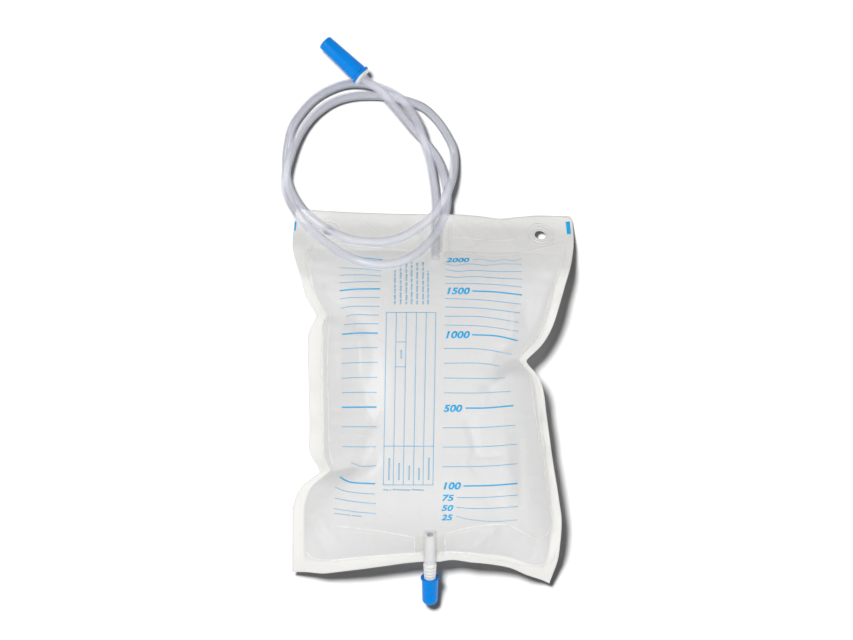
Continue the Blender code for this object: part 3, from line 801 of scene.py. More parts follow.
@dataclass(frozen=True)
class Finish:
    """A plastic finish; each kind of surface sets its own values."""

    name: str
    colour: Colour
    second_colour: Colour
    roughness: float
    slot: str
    alpha: float = 1.0
    coat: float = 0.0
    coat_roughness: float = 0.10
    patch_scale: float = 30.0
    patch_height: float = 0.0
    grain_scale: float = 900.0
    grain_height: float = 0.00001
    roughness_spread: float = 0.08
    specular: float = 0.5
    # painted shade: colour laid into bores and grooves where the mesh marks a hollow
    hollow_shade_colour: Colour | None = None

    def shader(self, effects: Effects) -> tuple[Material, Nodes, Node, Node]:
        """Starts the material with its shader, the uneven plastic effect and the roughness.

        Args:
            effects: The shared effects.

        Returns:
            The material, its node helper, its shader and the effect's node.
        """
        made = bpy.data.materials.new(self.name)
        made.use_nodes = True
        nodes = Nodes(made.node_tree)
        shader = made.node_tree.nodes["Principled BSDF"]
        scales = {"Patch Scale": self.patch_scale, "Grain Scale": self.grain_scale}
        heights = {"Patch Height": self.patch_height, "Grain Height": self.grain_height}
        mottle = nodes.add("ShaderNodeGroup", {**scales, **heights}, node_tree=effects.mottle)
        smooth, rough = self.roughness - self.roughness_spread, self.roughness + self.roughness_spread
        plain = {
            "Alpha": self.alpha,
            "Coat Weight": self.coat,
            "Coat Roughness": self.coat_roughness,
            "Specular IOR Level": self.specular,
            "Roughness": nodes.remap(mottle.outputs["Patch"], PATCH_RANGE, smooth, rough),
        }
        nodes.feed(shader, plain)
        return made, nodes, shader, mottle

    def plain(self, nodes: Nodes, mottle: Node) -> NodeSocket:
        """The finish's own colour, in its two shades."""
        return nodes.mix(mottle.outputs["Patch"], rgba(self.colour), rgba(self.second_colour))

    def clear(self, nodes: Nodes, shader: Node, alpha: object, shade: float) -> None:
        """Lets light through, counting each wall of clear plastic once.

        Args:
            nodes: The material's node helper.
            shader: The material's shader.
            alpha: How solid the wall is, as a value or an output.
            shade: How solid its shadow is, as a share of that alpha.
        """
        behind = nodes.add("ShaderNodeNewGeometry").outputs["Backfacing"]
        seen = nodes.maths("MULTIPLY", nodes.maths("SUBTRACT", 1.0, behind), alpha)
        if shade != 1.0:
            shadow = nodes.add("ShaderNodeLightPath").outputs["Is Shadow Ray"]
            share = nodes.maths("SUBTRACT", 1.0, nodes.maths("MULTIPLY", shadow, 1.0 - shade))
            seen = nodes.maths("MULTIPLY", seen, share)
        nodes.feed(shader, {"Alpha": seen})

    def tint(self, nodes: Nodes, shader: Node, colour: NodeSocket) -> None:
        """Feeds a colour to the shader, with painted shade where the mesh marks a hollow.

        Args:
            nodes: The material's node helper.
            shader: The material's shader.
            colour: The colour's output.
        """
        if self.hollow_shade_colour is not None:
            # painted shade: the colour darkens towards the bottom of each marked hollow
            deep = nodes.remap(nodes.attribute("hollow"), HOLLOW_SHADE_RANGE, 0.0, 1.0)
            colour = nodes.mix(deep, colour, rgba(self.hollow_shade_colour))
        nodes.feed(shader, {"Base Color": colour})

    def bump(self, nodes: Nodes, shader: Node, height: NodeSocket) -> None:
        """Feeds a height in metres to the shader's normal."""
        bump = nodes.add("ShaderNodeBump", {"Height": height, "Strength": 1.0, "Distance": 1.0})
        nodes.feed(shader, {"Normal": bump.outputs["Normal"]})

    def build(self, effects: Effects) -> Material:
        """Builds the material.

        Args:
            effects: The shared effects.

        Returns:
            The material.
        """
        made, nodes, shader, mottle = self.shader(effects)
        self.tint(nodes, shader, self.plain(nodes, mottle))
        self.bump(nodes, shader, mottle.outputs["Height"])
        return made


@dataclass(frozen=True)
class FilmFinish(Finish):
    """Clear PVC film: milky, a little warmer and denser where two films are welded together."""

    weld_colour: Colour = (0.860, 0.853, 0.833)
    weld_alpha: float = 0.84
    window_alpha: float = 0.24
    crease_scale: float = 55.0
    crease_height: float = 0.00005
    shade: float = 1.0
    pad_colour: Colour = (0.760, 0.750, 0.715)
    pad_height: float = 0.00020
    pad_strength: float = 1.3

    def build(self, effects: Effects) -> Material:
        """Builds the film's material, which reads the mesh's own weld, window and pad attributes.

        Args:
            effects: The shared effects.

        Returns:
            The material.
        """
        made, nodes, shader, mottle = self.shader(effects)
        weld, window = nodes.attribute("weld"), nodes.attribute("window")
        pressed = nodes.maths("MULTIPLY", nodes.attribute("pad"), mottle.outputs["Grain"])
        colour = nodes.mix(weld, self.plain(nodes, mottle), rgba(self.weld_colour))
        stained = nodes.maths("MULTIPLY", pressed, self.pad_strength)
        nodes.feed(shader, {"Base Color": nodes.mix(stained, colour, rgba(self.pad_colour))})
        milky = nodes.remap(weld, FULL_RANGE, self.alpha, self.weld_alpha)
        alpha = nodes.remap(window, FULL_RANGE, milky, self.window_alpha)
        self.clear(nodes, shader, alpha, self.shade)
        creases = {"Scale": self.crease_scale, "Crease Height": self.crease_height}
        crinkle = nodes.add("ShaderNodeGroup", creases, node_tree=effects.crinkle)
        height = nodes.maths("ADD", mottle.outputs["Height"], crinkle.outputs["Height"])
        raised = nodes.maths("MULTIPLY", pressed, self.pad_height)
        self.bump(nodes, shader, nodes.maths("ADD", height, raised))
        return made


@dataclass(frozen=True)
class TubeFinish(Finish):
    """Clear tubing: pale in the middle, deeper in colour where the wall is seen edge on."""

    edge_colour: Colour = (0.46, 0.49, 0.61)
    edge_alpha: float = 0.66
    edge_blend: float = 0.42
    shade: float = 1.0

    def build(self, effects: Effects) -> Material:
        """Builds the tubing's material.

        Args:
            effects: The shared effects.

        Returns:
            The material.
        """
        made, nodes, shader, mottle = self.shader(effects)
        facing = nodes.add("ShaderNodeLayerWeight", {"Blend": self.edge_blend}).outputs["Facing"]
        self.tint(nodes, shader, nodes.mix(facing, self.plain(nodes, mottle), rgba(self.edge_colour)))
        alpha = nodes.remap(facing, FULL_RANGE, self.alpha, self.edge_alpha)
        self.clear(nodes, shader, alpha, self.shade)
        self.bump(nodes, shader, mottle.outputs["Height"])
        return made


UPPER_FILM = FilmFinish(
    "clear_film_upper", (0.800, 0.808, 0.812), (0.832, 0.828, 0.815), 0.44, "front_film", alpha=0.76,
    shade=0.40, coat=0.22, coat_roughness=0.22, patch_scale=26.0, patch_height=0.0006,
    crease_height=0.00009, grain_scale=1400.0, grain_height=0.000012, specular=0.35,
)
LOWER_FILM = FilmFinish(
    "clear_film_lower", (0.800, 0.808, 0.815), (0.830, 0.828, 0.820), 0.44, "back_film", alpha=0.80,
    shade=1.20, window_alpha=0.80, coat=0.15, coat_roughness=0.26, patch_scale=20.0,
    patch_height=0.0003, grain_scale=1400.0, grain_height=0.000012, specular=0.4,
)
WELD_BEAD = Finish(
    "weld_bead", (0.77, 0.765, 0.745), (0.81, 0.805, 0.785), 0.30, "front_film", coat=0.4,
    coat_roughness=0.16, patch_scale=120.0,
)
TUBE_PVC = TubeFinish(
    "tube_pvc", (0.68, 0.69, 0.76), (0.72, 0.73, 0.79), 0.16, "inlet_tube", alpha=0.38, coat=0.6,
    coat_roughness=0.06, patch_scale=45.0, patch_height=0.00008, grain_scale=500.0,
    grain_height=0.000006, roughness_spread=0.05, shade=2.4,
)
# The outlet pipe's bore is darkened with painted shade.
OUTLET_PVC = TubeFinish(
    "outlet_pvc", (0.89, 0.895, 0.91), (0.91, 0.915, 0.93), 0.18, "outlet_tube", alpha=0.86, coat=0.6,
    coat_roughness=0.08, patch_scale=90.0, grain_scale=600.0, roughness_spread=0.05,
    edge_colour=(0.74, 0.76, 0.82), hollow_shade_colour=(0.36, 0.37, 0.38),
)
WHITE_PLASTIC = Finish(
    "white_plastic", (0.80, 0.805, 0.81), (0.83, 0.83, 0.83), 0.36, "catheter_connector", coat=0.2,
    patch_scale=160.0, grain_scale=2600.0, grain_height=0.000006,
)
# The nozzle's rib grooves and bore are darkened with painted shade.
WHITE_NOZZLE = replace(
    WHITE_PLASTIC, name="white_nozzle", slot="outlet_nozzle", colour=(0.79, 0.79, 0.785),
    second_colour=(0.82, 0.82, 0.815), roughness=0.34, hollow_shade_colour=(0.30, 0.30, 0.30),
)
BLUE_CAP = Finish(
    "blue_cap", (0.0, 0.230, 0.780), (0.0, 0.270, 0.830), 0.30, "connector_cap", coat=0.03,
    coat_roughness=0.3, patch_scale=110.0, grain_scale=2200.0, grain_height=0.000008, specular=0.10,
)
BLUE_OUTLET_CAP = replace(
    BLUE_CAP, name="blue_outlet_cap", slot="outlet_cap", colour=(0.0, 0.220, 0.750),
    second_colour=(0.0, 0.260, 0.800),
)
INK = Finish(
    "blue_ink", (0.005, 0.470, 0.910), (0.020, 0.500, 0.930), 0.45, "front_film", alpha=0.95,
    patch_scale=400.0, grain_scale=3000.0, grain_height=0.000004, specular=0.2,
)
THIN_INK = replace(
    INK, name="blue_ink_thin", colour=(0.120, 0.520, 0.900), second_colour=(0.180, 0.560, 0.920),
    alpha=0.85,
)
PALE_INK = replace(
    INK, name="pale_blue_ink", colour=(0.420, 0.680, 0.890), second_colour=(0.470, 0.710, 0.900),
    alpha=0.70,
)


# Mesh helpers
def place(name: str, data: ID) -> Object:
    """Adds an object to the scene.

    Args:
        name: The object's name.
        data: Its mesh, curve, lamp or camera.

    Returns:
        The new object.
    """
    made = bpy.data.objects.new(name, data)
    bpy.context.scene.collection.objects.link(made)
    return made


def flattened(curve: Curve) -> Mesh:
    """Makes a text or a curve a mesh.

    Args:
        curve: The text or curve.

    Returns:
        Its mesh.
    """
    shown = place(curve.name, curve)
    seen = shown.evaluated_get(bpy.context.evaluated_depsgraph_get())
    mesh = bpy.data.meshes.new_from_object(seen)
    bpy.data.objects.remove(shown)
    return mesh


def add_piece(
    name: str, bm: BMesh, finish: Finish, effects: Effects, body: str = BAG_BODY
) -> Object:
    """Makes a bmesh a piece of the object.

    Args:
        name: The piece's name.
        bm: Its mesh, which is freed.
        finish: Its finish.
        effects: The shared effects.
        body: The CAD body that it moves with.

    Returns:
        The new object.
    """
    mesh = bpy.data.meshes.new(name)
    bm.to_mesh(mesh)
    bm.free()
    mesh.shade_smooth()
    mesh.materials.append(bpy.data.materials.get(finish.name) or finish.build(effects))
    made = place(name, mesh)
    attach(made, body)
    log.info("%s: %d faces, rides on %s", name, len(mesh.polygons), body)
    return made


def thicken(made: Object, thickness: float, offset: float) -> None:
    """Gives an open sheet its wall.

    Args:
        made: The piece.
        thickness: The wall in metres.
        offset: 1 outwards, -1 inwards.
    """
    wall = made.modifiers.new("Wall", "SOLIDIFY")
    wall.thickness = thickness
    wall.offset = offset
    wall.use_even_offset = True


def surface_of(made: Object) -> BVHTree:
    """The piece's finished surface, for laying other pieces on it."""
    return BVHTree.FromObject(made, bpy.context.evaluated_depsgraph_get())


@dataclass(frozen=True)
class Lathe:
    """Turns a piece round an axis."""

    origin: Triple
    direction: Triple
    steps: int = 72
    edge_radius: float = 0.00018
    sharp_angle: float = math.radians(32)

    def matrix(self) -> Matrix:
        """Frame whose +Z is the axis."""
        turn = Vector((0, 0, 1)).rotation_difference(Vector(self.direction))
        return Matrix.Translation(Vector(self.origin)) @ turn.to_matrix().to_4x4()

    def turn(self, profile: Sequence[Point], closed: bool) -> BMesh:
        """Spins a profile into a closed body with softened edges.

        Args:
            profile: (radius, height) points, outer side first.
            closed: Whether the last point joins the first, as round a bore.

        Returns:
            The body, in place.
        """
        bm = bmesh.new()
        corners = [bm.verts.new((radius, 0.0, height)) for radius, height in profile]
        lines = [bm.edges.new(pair) for pair in zip(corners, corners[1:])]
        if closed:
            lines.append(bm.edges.new((corners[-1], corners[0])))
        round_axis = {"cent": (0, 0, 0), "axis": (0, 0, 1), "angle": 2 * math.pi}
        bmesh.ops.spin(bm, geom=corners + lines, steps=self.steps, use_merge=True, **round_axis)
        bmesh.ops.remove_doubles(bm, verts=bm.verts, dist=MERGE_DISTANCE)
        bmesh.ops.recalc_face_normals(bm, faces=bm.faces)
        joined = [edge for edge in bm.edges if len(edge.link_faces) == 2]
        sharp = [edge for edge in joined if edge.calc_face_angle() > self.sharp_angle]
        soft = {"offset": self.edge_radius, "offset_type": "OFFSET", "segments": 2, "profile": 0.5}
        bmesh.ops.bevel(bm, geom=sharp, affect="EDGES", clamp_overlap=True, material=-1, **soft)
        bmesh.ops.transform(bm, matrix=self.matrix(), verts=bm.verts)
        return bm


@dataclass(frozen=True)
class Drape:
    """Lays lines and shapes on the upper film, straight down from above."""

    surface: BVHTree
    ink_step: float = 0.0015
    bead_step: float = 0.0012
    steepest: float = 0.2
    squeeze_limit: float = 0.5
    bead_taper: float = 0.25
    bead_sink: float = 0.00005
    bead_angles: tuple[int, ...] = (0, 36, 72, 108, 144, 180)
    seam_level: float = 0.03

    def on(self, x: float, y: float, lift: float) -> Vector:
        """Finds the place on the film under a point in plan.

        Args:
            x: Place across, in metres.
            y: Place along, in metres.
            lift: Distance off the film.

        Returns:
            The point, lifted along the film's normal.
        """
        point, normal = self.surface.ray_cast(Vector((x, y, HIGH_ABOVE)), DOWN)[:2]
        if point is None:
            point, normal = self.surface.find_nearest(Vector((x, y, self.seam_level)))[:2]
        return point + normal * lift

    def squeeze(self, x: float, y: float, across: Vector) -> float:
        """How much a length on the film shrinks in plan.

        Args:
            x: Place across, in metres.
            y: Place along, in metres.
            across: The length's direction in plan.

        Returns:
            Length in plan as a share of length on the film.
        """
        normal = self.surface.ray_cast(Vector((x, y, HIGH_ABOVE)), DOWN)[1]
        if normal is None or normal.z < self.steepest:
            return self.squeeze_limit
        climb = (normal.x * across.x + normal.y * across.y) / normal.z
        return 1 / math.sqrt(1 + climb * climb)

    def samples(self, route: Sequence[Point], step: float, least: int) -> np.ndarray:
        """Spreads points evenly along a route.

        Args:
            route: Points in plan, in millimetres.
            step: Distance from one to the next, in metres.
            least: The least number of points.

        Returns:
            The points, in metres.
        """
        line = drawn(route)
        return evenly(line, max(least, round(run_length(line)[-1] / step) + 1), 2)

    def ribbon(self, bm: BMesh, route: Sequence[Point], width: float, lift: float) -> None:
        """Lays a flat line of ink along a route.

        Args:
            bm: The mesh that takes it.
            route: Points in plan, in millimetres.
            width: The line's width on the film, in millimetres.
            lift: Distance off the film, in metres.
        """
        line = self.samples(route, self.ink_step, 3)
        rows = []
        for (x, y), (dx, dy) in zip(line, np.gradient(line, axis=0)):
            across = Vector((-dy, dx)).normalized()
            half = across * (width * MM / 2 * self.squeeze(x, y, across))
            ends = [(x - half.x, y - half.y), (x + half.x, y + half.y)]
            rows.append([bm.verts.new(self.on(*end, lift)) for end in ends])
        for low, high in zip(rows, rows[1:]):
            bm.faces.new((low[0], high[0], high[1], low[1]))

    def bead(self, bm: BMesh, route: Sequence[Vector], width: float, height: float) -> None:
        """Raises a rounded welding bead along points on the film.

        Args:
            bm: The mesh that takes it.
            route: Points on the film, in metres.
            width: The bead's width.
            height: How far it stands up.
        """
        rows = []
        for i, point in enumerate(route):
            before, after = route[max(i - 1, 0)], route[min(i + 1, len(route) - 1)]
            normal = self.surface.find_nearest(point)[1]
            side = normal.cross(after - before).normalized()
            taper = min(1.0, self.bead_taper * (1 + min(i, len(route) - 1 - i)))
            ring = []
            for angle in self.bead_angles:
                turn = math.radians(angle)
                out = side * (math.cos(turn) * width / 2 * taper)
                up = normal * (math.sin(turn) * height * taper - self.bead_sink)
                ring.append(bm.verts.new(point + out + up))
            rows.append(ring)
        for low, high in zip(rows, rows[1:]):
            for a, b, c, d in zip(low, low[1:] + low[:1], high[1:] + high[:1], high):
                bm.faces.new((a, b, c, d))
        bm.faces.new(rows[0][::-1])
        bm.faces.new(rows[-1])

    def plan_bead(self, bm: BMesh, route: Sequence[Point], width: float, height: float) -> None:
        """Raises a bead along a route given in plan; every size is in millimetres.

        Args:
            bm: The mesh that takes it.
            route: Points in plan.
            width: The bead's width.
            height: How far it stands up.
        """
        points = [self.on(x, y, 0.0) for x, y in self.samples(route, self.bead_step, 6)]
        self.bead(bm, points, width * MM, height * MM)


# Sub-assemblies
@dataclass
class Films:
    """The two welded films, with the hanging holes punched through them."""

    shape: BagShape
    effects: Effects
    thickness: float = 0.00025
    eyelet_across: float = 0.755
    eyelet_along: float = 0.944
    eyelet_radius: float = 0.0043
    upper_counts: tuple[int, int] = (190, 236)
    lower_counts: tuple[int, int] = (140, 176)
    flat_length: float = 0.305
    weld_dense: Point = (0.06, 0.9)
    hole_dense: Point = (0.06, 0.4)
    buckle_dense: Point = (0.03, 0.6)
    dense_across: tuple[Triple, ...] = ((0.0, 0.055, 1.6),)
    dense_along: tuple[Triple, ...] = ((0.02, 0.05, 0.9), (0.905, 0.07, 0.9))

    def columns(self, count: int) -> np.ndarray:
        """Spreads places across, closest together over the tubes, at the welds and at the holes.

        Args:
            count: Number of places.

        Returns:
            The places.
        """
        weld = 1.0 - self.shape.side_weld / (self.shape.width / 2)
        sides = ((weld, self.weld_dense), (self.eyelet_across, self.hole_dense))
        dense = [(side * at, *size) for at, size in sides for side in (-1, 1)]
        return spaced(-1.0, 1.0, count, [*self.dense_across, *dense])

    def rows(self, count: int) -> np.ndarray:
        """Spreads places along, closest together at the welds and the buckles.

        Args:
            count: Number of places.

        Returns:
            The places.
        """
        dense = [(buckle.along, *self.buckle_dense) for buckle in self.shape.buckles]
        return spaced(0.0, 1.0, count, [*self.dense_along, *dense])

    def eyelet(self, side: int) -> tuple[Vector, Vector]:
        """Middle of a hanging hole and the strip's normal there.

        Args:
            side: -1 for the left hole, 1 for the right.

        Returns:
            The hole's middle on the weld, and the unit normal.
        """
        s, t = np.array([side * self.eyelet_across]), np.array([self.eyelet_along])
        middle = self.shape.weld_sheet(s, t)[0]
        return Vector(middle), Vector(self.shape.sheet_normal(s, t)[0])

    def punch(self, bm: BMesh) -> None:
        """Opens the hanging holes in a film's grid and rounds their edges."""
        for side in (-1, 1):
            middle, axis = self.eyelet(side)
            inside = {}
            for vert in bm.verts:
                off = vert.co - middle
                off -= axis * off.dot(axis)
                if off.length < self.eyelet_radius:
                    inside[vert] = off
            gone = [face for face in bm.faces if all(vert in inside for vert in face.verts)]
            bmesh.ops.delete(bm, geom=gone, context="FACES")
            for vert, off in inside.items():
                if vert.is_valid:
                    vert.co += off * (self.eyelet_radius / max(off.length, MERGE_DISTANCE) - 1)

    def sheet(
        self, name: str, up: int, counts: tuple[int, int], finish: FilmFinish, node: str
    ) -> Object:
        """Makes one film.

        Args:
            name: The piece's name.
            up: 1 for the upper film, -1 for the lower one.
            counts: Grid points across and along.
            finish: Its finish.
            node: The CAD node that it stands for.

        Returns:
            The film.
        """
        s, t = self.columns(counts[0]), self.rows(counts[1])
        grid_s, grid_t = np.meshgrid(s, t, indexing="ij")
        surface = self.shape.film(grid_s, grid_t, up)
        shares = {
            "weld": self.shape.weld_share(grid_s, grid_t),
            "window": self.shape.window_share(grid_s, grid_t),
            "pad": self.shape.pad_share(surface[..., 0], surface[..., 1]),
        }
        bm = bmesh.new()
        bmesh.ops.create_grid(bm, x_segments=len(s) - 1, y_segments=len(t) - 1, size=1.0)
        for label in shares:
            bm.verts.layers.float.new(label)
        layers = [(bm.verts.layers.float[label], share) for label, share in shares.items()]
        for vert in bm.verts:
            i = round((vert.co.x + 1) / 2 * (len(s) - 1))
            j = round((vert.co.y + 1) / 2 * (len(t) - 1))
            vert.co = surface[i, j]
            for layer, share in layers:
                vert[layer] = share[i, j]
        self.punch(bm)
        if up < 0:
            bmesh.ops.reverse_faces(bm, faces=bm.faces)
        made = add_piece(name, bm, finish, self.effects)
        thicken(made, self.thickness, 1.0)
        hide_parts(node)
        return made

    def build(self) -> Object:
        """Makes both films and gives the upper one."""
        self.sheet("lower_film", -1, self.lower_counts, LOWER_FILM, "back_film")
        return self.sheet("upper_film", 1, self.upper_counts, UPPER_FILM, "front_film")


@dataclass
class Welds:
    """Raised lines of the welds, pressed into the upper film."""

    films: Films
    drape: Drape
    effects: Effects
    width: float = 1.7
    height: float = 0.26
    pad_width: float = 1.1
    ring_width: float = 0.0013
    ring_height: float = 0.00036
    ring_steps: int = 64
    ring_above: float = 0.004
    ring_near: float = 0.001
    seams_mm: tuple[Route, ...] = (
        ((-79.3, 69), (-81.5, 42), (-81.1, 6), (-80.2, -31), (-77.5, -43)),
        ((-75.6, 69), (-77.4, 42), (-77.1, 6), (-76.0, -31), (-73.0, -43)),
        ((-88.4, 119), (-93.0, 108), (-91.2, 93), (-84.8, 79), (-79.5, 69)),
        ((97, 118), (95, 104), (91, 92), (86, 82), (78, 52), (70, 46), (62.5, 36)),
        ((62.5, 36), (70.5, 25), (73.6, 3), (78, -24), (82, -51), (85, -66), (87.6, -83)),
        ((87.6, -83), (84, -92), (79.6, -95.6), (75.3, -96.4), (68.6, -93), (55.5, -86)),
        ((90, 96), (84, 68), (76, 53)),
        ((76.5, 2), (80.5, -24), (84.5, -52)),
        ((-71, -87), (-39, -90.7), (-13.3, -95.3)),
        ((8.7, -92.5), (27, -88), (47.2, -85.6), (56, -86)),
        ((-94.8, -102.6), (-88.4, -110), (-71.9, -112), (-48, -109.5), (-13.3, -107.2)),
        ((8.7, -106), (30.7, -107.4), (49, -111.8), (65.5, -115.4), (83.8, -114.5), (91.2, -104.4)),
        ((13.5, 125.9), (36.2, 123.1), (52.7, 122.8), (66, 125.5)),
        ((13.5, 114.2), (50.8, 111.8), (82.0, 117.3), (95, 120.0)),
        ((-8, 125.9), (-36, 124), (-52, 123.5), (-66, 128)),
        ((-9.6, 114.5), (-40.8, 117.5), (-64, 120), (-86, 121)),
    )
    pad_lines_mm: tuple[Triple, ...] = (
        (10.4, 114.0, 135.2), (12.7, 114.0, 135.2), (-6.4, 114.0, 135.2), (-8.7, 114.0, 135.2),
        (-13.6, -94.5, -108.0), (8.8, -94.5, -108.0),
    )
    ring_radii: tuple[float, ...] = (0.00475, 0.0070, 0.0098)

    def raise_lines(self, name: str, routes: Sequence[Sequence[Point]], width: float) -> None:
        """Raises beads along routes in plan, as one piece.

        Args:
            name: The piece's name.
            routes: The routes, in millimetres.
            width: The beads' width, in millimetres.
        """
        bm = bmesh.new()
        for route in routes:
            self.drape.plan_bead(bm, route, width, self.height)
        add_piece(name, bm, WELD_BEAD, self.effects)

    def rings(self) -> None:
        """Raises the rings round each hanging hole."""
        bm, film = bmesh.new(), self.drape.surface
        for side in (-1, 1):
            middle, normal = self.films.eyelet(side)
            across = normal.cross(Vector((0, 0, 1))).normalized()
            along = normal.cross(across)
            for radius in self.ring_radii:
                route = []
                for step in range(self.ring_steps + 1):
                    turn = 2 * math.pi * step / self.ring_steps
                    spot = middle + (across * math.cos(turn) + along * math.sin(turn)) * radius
                    hit = film.ray_cast(spot + normal * self.ring_above, -normal)[0]
                    route.append(hit or film.find_nearest(spot + normal * self.ring_near)[0])
                self.drape.bead(bm, route, self.ring_width, self.ring_height)
        add_piece("hanging_hole_rings", bm, WELD_BEAD, self.effects)

    def build(self) -> None:
        """Raises the seams round the bag, the short lines beside the tubes, and the rings."""
        self.raise_lines("weld_seams", self.seams_mm, self.width)
        pads = [((x, low), (x, high)) for x, low, high in self.pad_lines_mm]
        self.raise_lines("tube_weld_pads", pads, self.pad_width)
        self.rings()


@dataclass(frozen=True)
class Numeral:
    """A volume printed beside the scale: its text, both ends, middle and height, in millimetres."""

    text: str
    left: float
    right: float
    middle: float
    size: float


@dataclass
class Print:
    """The blue scale, the empty table and the bars that stand for its small print."""

    drape: Drape
    effects: Effects
    lift: float = 0.00005
    thin: float = 0.46
    bold: float = 1.00
    bar: float = 1.2
    low_bar: float = 1.0
    side_bar: float = 0.8
    cell_shift: float = 0.4
    label_gap: float = 3.5
    label_lean: float = 0.3
    small_bar: float = 6.4
    text_lean: float = 0.15
    word_shift: Point = (0.04, 2.4)
    layer: float = 0.00002
    body: float = 0.00003
    bold_lines_mm: tuple[Route, ...] = (
        ((28.7, 85.3), (46, 84.6), (64.9, 82.4)),
        ((28.5, 53.2), (46, 52.4), (61.9, 49.0)),
        ((23.7, -0.5), (40, -0.3), (58.8, 1.4)),
        ((22.3, -57.6), (42, -57.2), (61.8, -55.8)),
        ((-61.0, 111.3), (-50, 109.6), (-37.0, 108.2)),
        ((-68.5, 85.5), (-58, 86.6), (-39.0, 86.9)),
        ((-66.7, 53.7), (-54, 54.5), (-40.6, 54.4)),
        ((-66.8, 0.0), (-54, 0.2), (-41.6, 0.2)),
        ((-68.4, -50.8), (-64.0, -53.6), (-58, -55.2), (-42.6, -55.9)),
    )
    thin_lines_mm: tuple[Route, ...] = (
        ((28.7, 108.1), (35, 108.6), (44, 107.2), (52, 108.4), (58, 107.4), (64.7, 108.8)),
        ((9.0, 105.2), (16, 104.0), (26, 105.2), (38, 104.2), (52, 105.2), (65.1, 104.9)),
        ((9.0, 101.0), (18, 99.8), (30, 100.4), (48, 99.6), (65.1, 99.6)),
        ((9.0, 96.1), (18, 95.3), (30, 95.9), (48, 94.8), (65.1, 94.0)),
        ((9.0, 90.9), (30, 90.7), (48, 89.9), (65.0, 88.2)),
        ((8.9, 79.9), (36, 78.8), (64.3, 75.7)),
        ((8.9, 73.6), (36, 72.6), (63.7, 69.3)),
        ((8.6, 66.9), (36, 66.4), (62.6, 62.4)),
        ((8.4, 60.4), (36, 59.6), (62.2, 55.8)),
        ((7.9, 43.2), (34, 42.8), (57.9, 39.1)),
        ((7.9, 32.4), (34, 32.4), (48.8, 30.3)),
        ((7.9, 21.6), (40, 21.2), (52.7, 21.7)),
        ((7.9, 10.7), (34, 10.6), (56.8, 11.9)),
        ((7.2, -14.9), (36, -14.7), (60.1, -13.0)),
        ((7.0, -29.1), (36, -28.8), (61.2, -27.0)),
        ((6.9, -43.5), (36, -43.2), (61.8, -41.3)),
        ((17.6, -66.1), (40, -65.8), (61.8, -64.2)),
        ((17.0, -73.1), (28, -74.1), (44, -73.9), (61.8, -72.6)),
        ((16.7, -79.6), (26, -82.0), (44, -83.6), (61.8, -82.4)),
        ((-67.9, 102.3), (-52, 101.6), (-38.2, 100.1)),
        ((-68.3, 96.9), (-52, 97.2), (-38.2, 96.3)),
        ((-68.3, 91.3), (-52, 92.2), (-38.7, 92.1)),
        ((-68.3, 79.4), (-60, 80.6), (-39.3, 80.6)),
        ((-67.8, 72.4), (-60, 74.1), (-39.6, 74.1)),
        ((-63.9, 66.7), (-58, 67.9), (-40.0, 67.7)),
        ((-65.1, 60.5), (-56, 61.4), (-40.3, 61.3)),
        ((-66.9, 42.9), (-54, 43.7), (-40.7, 43.9)),
        ((-66.8, 32.3), (-54, 32.9), (-40.7, 33.1)),
        ((-66.8, 21.4), (-54, 22.0), (-41.2, 22.1)),
        ((-66.8, 10.8), (-54, 11.1), (-41.5, 11.1)),
        ((-66.8, -14.2), (-54, -14.2), (-41.7, -14.2)),
        ((-66.2, -28.7), (-54, -28.9), (-42.0, -28.8)),
        ((-60.2, -40.4), (-56.5, -41.8), (-53.0, -43.2), (-49, -43.2), (-42.0, -42.7)),
        ((-71.8, -58.3), (-66.0, -60.8), (-56, -62.6), (-42.6, -63.5)),
        ((-72.2, -66.4), (-58, -69.0), (-42.3, -70.5)),
        ((-72.5, -74.1), (-58, -76.4), (-42.3, -77.7)),
    )
    numerals: tuple[Numeral, ...] = (
        Numeral("2000", 9.4, 26.6, 108.0, 5.6), Numeral("1500", 10.2, 27.0, 85.4, 5.6),
        Numeral("1000", 9.4, 27.0, 53.3, 5.5), Numeral("500", 7.5, 21.4, -0.7, 5.4),
        Numeral("100", 7.5, 20.4, -57.5, 5.4), Numeral("75", 6.5, 15.3, -66.3, 5.0),
        Numeral("50", 6.0, 14.8, -73.7, 5.0), Numeral("25", 6.0, 14.3, -80.6, 5.2),
    )
    table_top: float = 69.6
    table_bottom: float = -56.8
    table_rule: float = -28.4
    table_top_x: tuple[float, ...] = (-34.2, -26.9, -19.5, -12.2, -5.0, 2.0)
    table_bottom_x: tuple[float, ...] = (-36.5, -29.3, -22.0, -14.5, -7.5, -0.2)
    small_cell: Point = (48.0, 29.8)
    label_lengths: tuple[float, ...] = (16.0, 12.5, 10.5, 9.0, 16.5)
    text_lines_x: tuple[float, ...] = (-28.1, -23.9, -19.7, -15.9, -11.8, -7.5, -3.8)
    text_low: float = 75.5
    text_high: tuple[float, ...] = (100.5, 104.5, 105.5, 106.5, 106.0, 106.5, 100.0)
    text_width: float = 1.3
    words: Route = (
        (0.0, 0.10), (0.13, 0.27), (0.30, 0.45), (0.48, 0.58), (0.61, 0.78), (0.81, 0.89), (0.92, 1.0),
    )
    low_bars: Route = ((-36.5, -32.8), (-31.8, -30.8), (-29.8, -17.0), (-15.8, -7.0))
    low_bars_y: Point = (-60.2, -60.6)
    side_bars: Route = ((-72.4, -60.5), (-59.3, -52.5))
    side_bars_at: Point = (-72.4, -77.6)
    side_bars_fall: float = 0.12
    slant: float = 0.22
    stroke: float = 0.034
    letter_space: float = 1.04
    squeeze_at: float = 7.0
    corner_marks: tuple[tuple[float, Route], ...] = (
        (1.2, ((-100.7, 136.2), (-101.4, 129.6))),
        (3.0, ((98.6, 136.2), (99.6, 127.0))),
    )

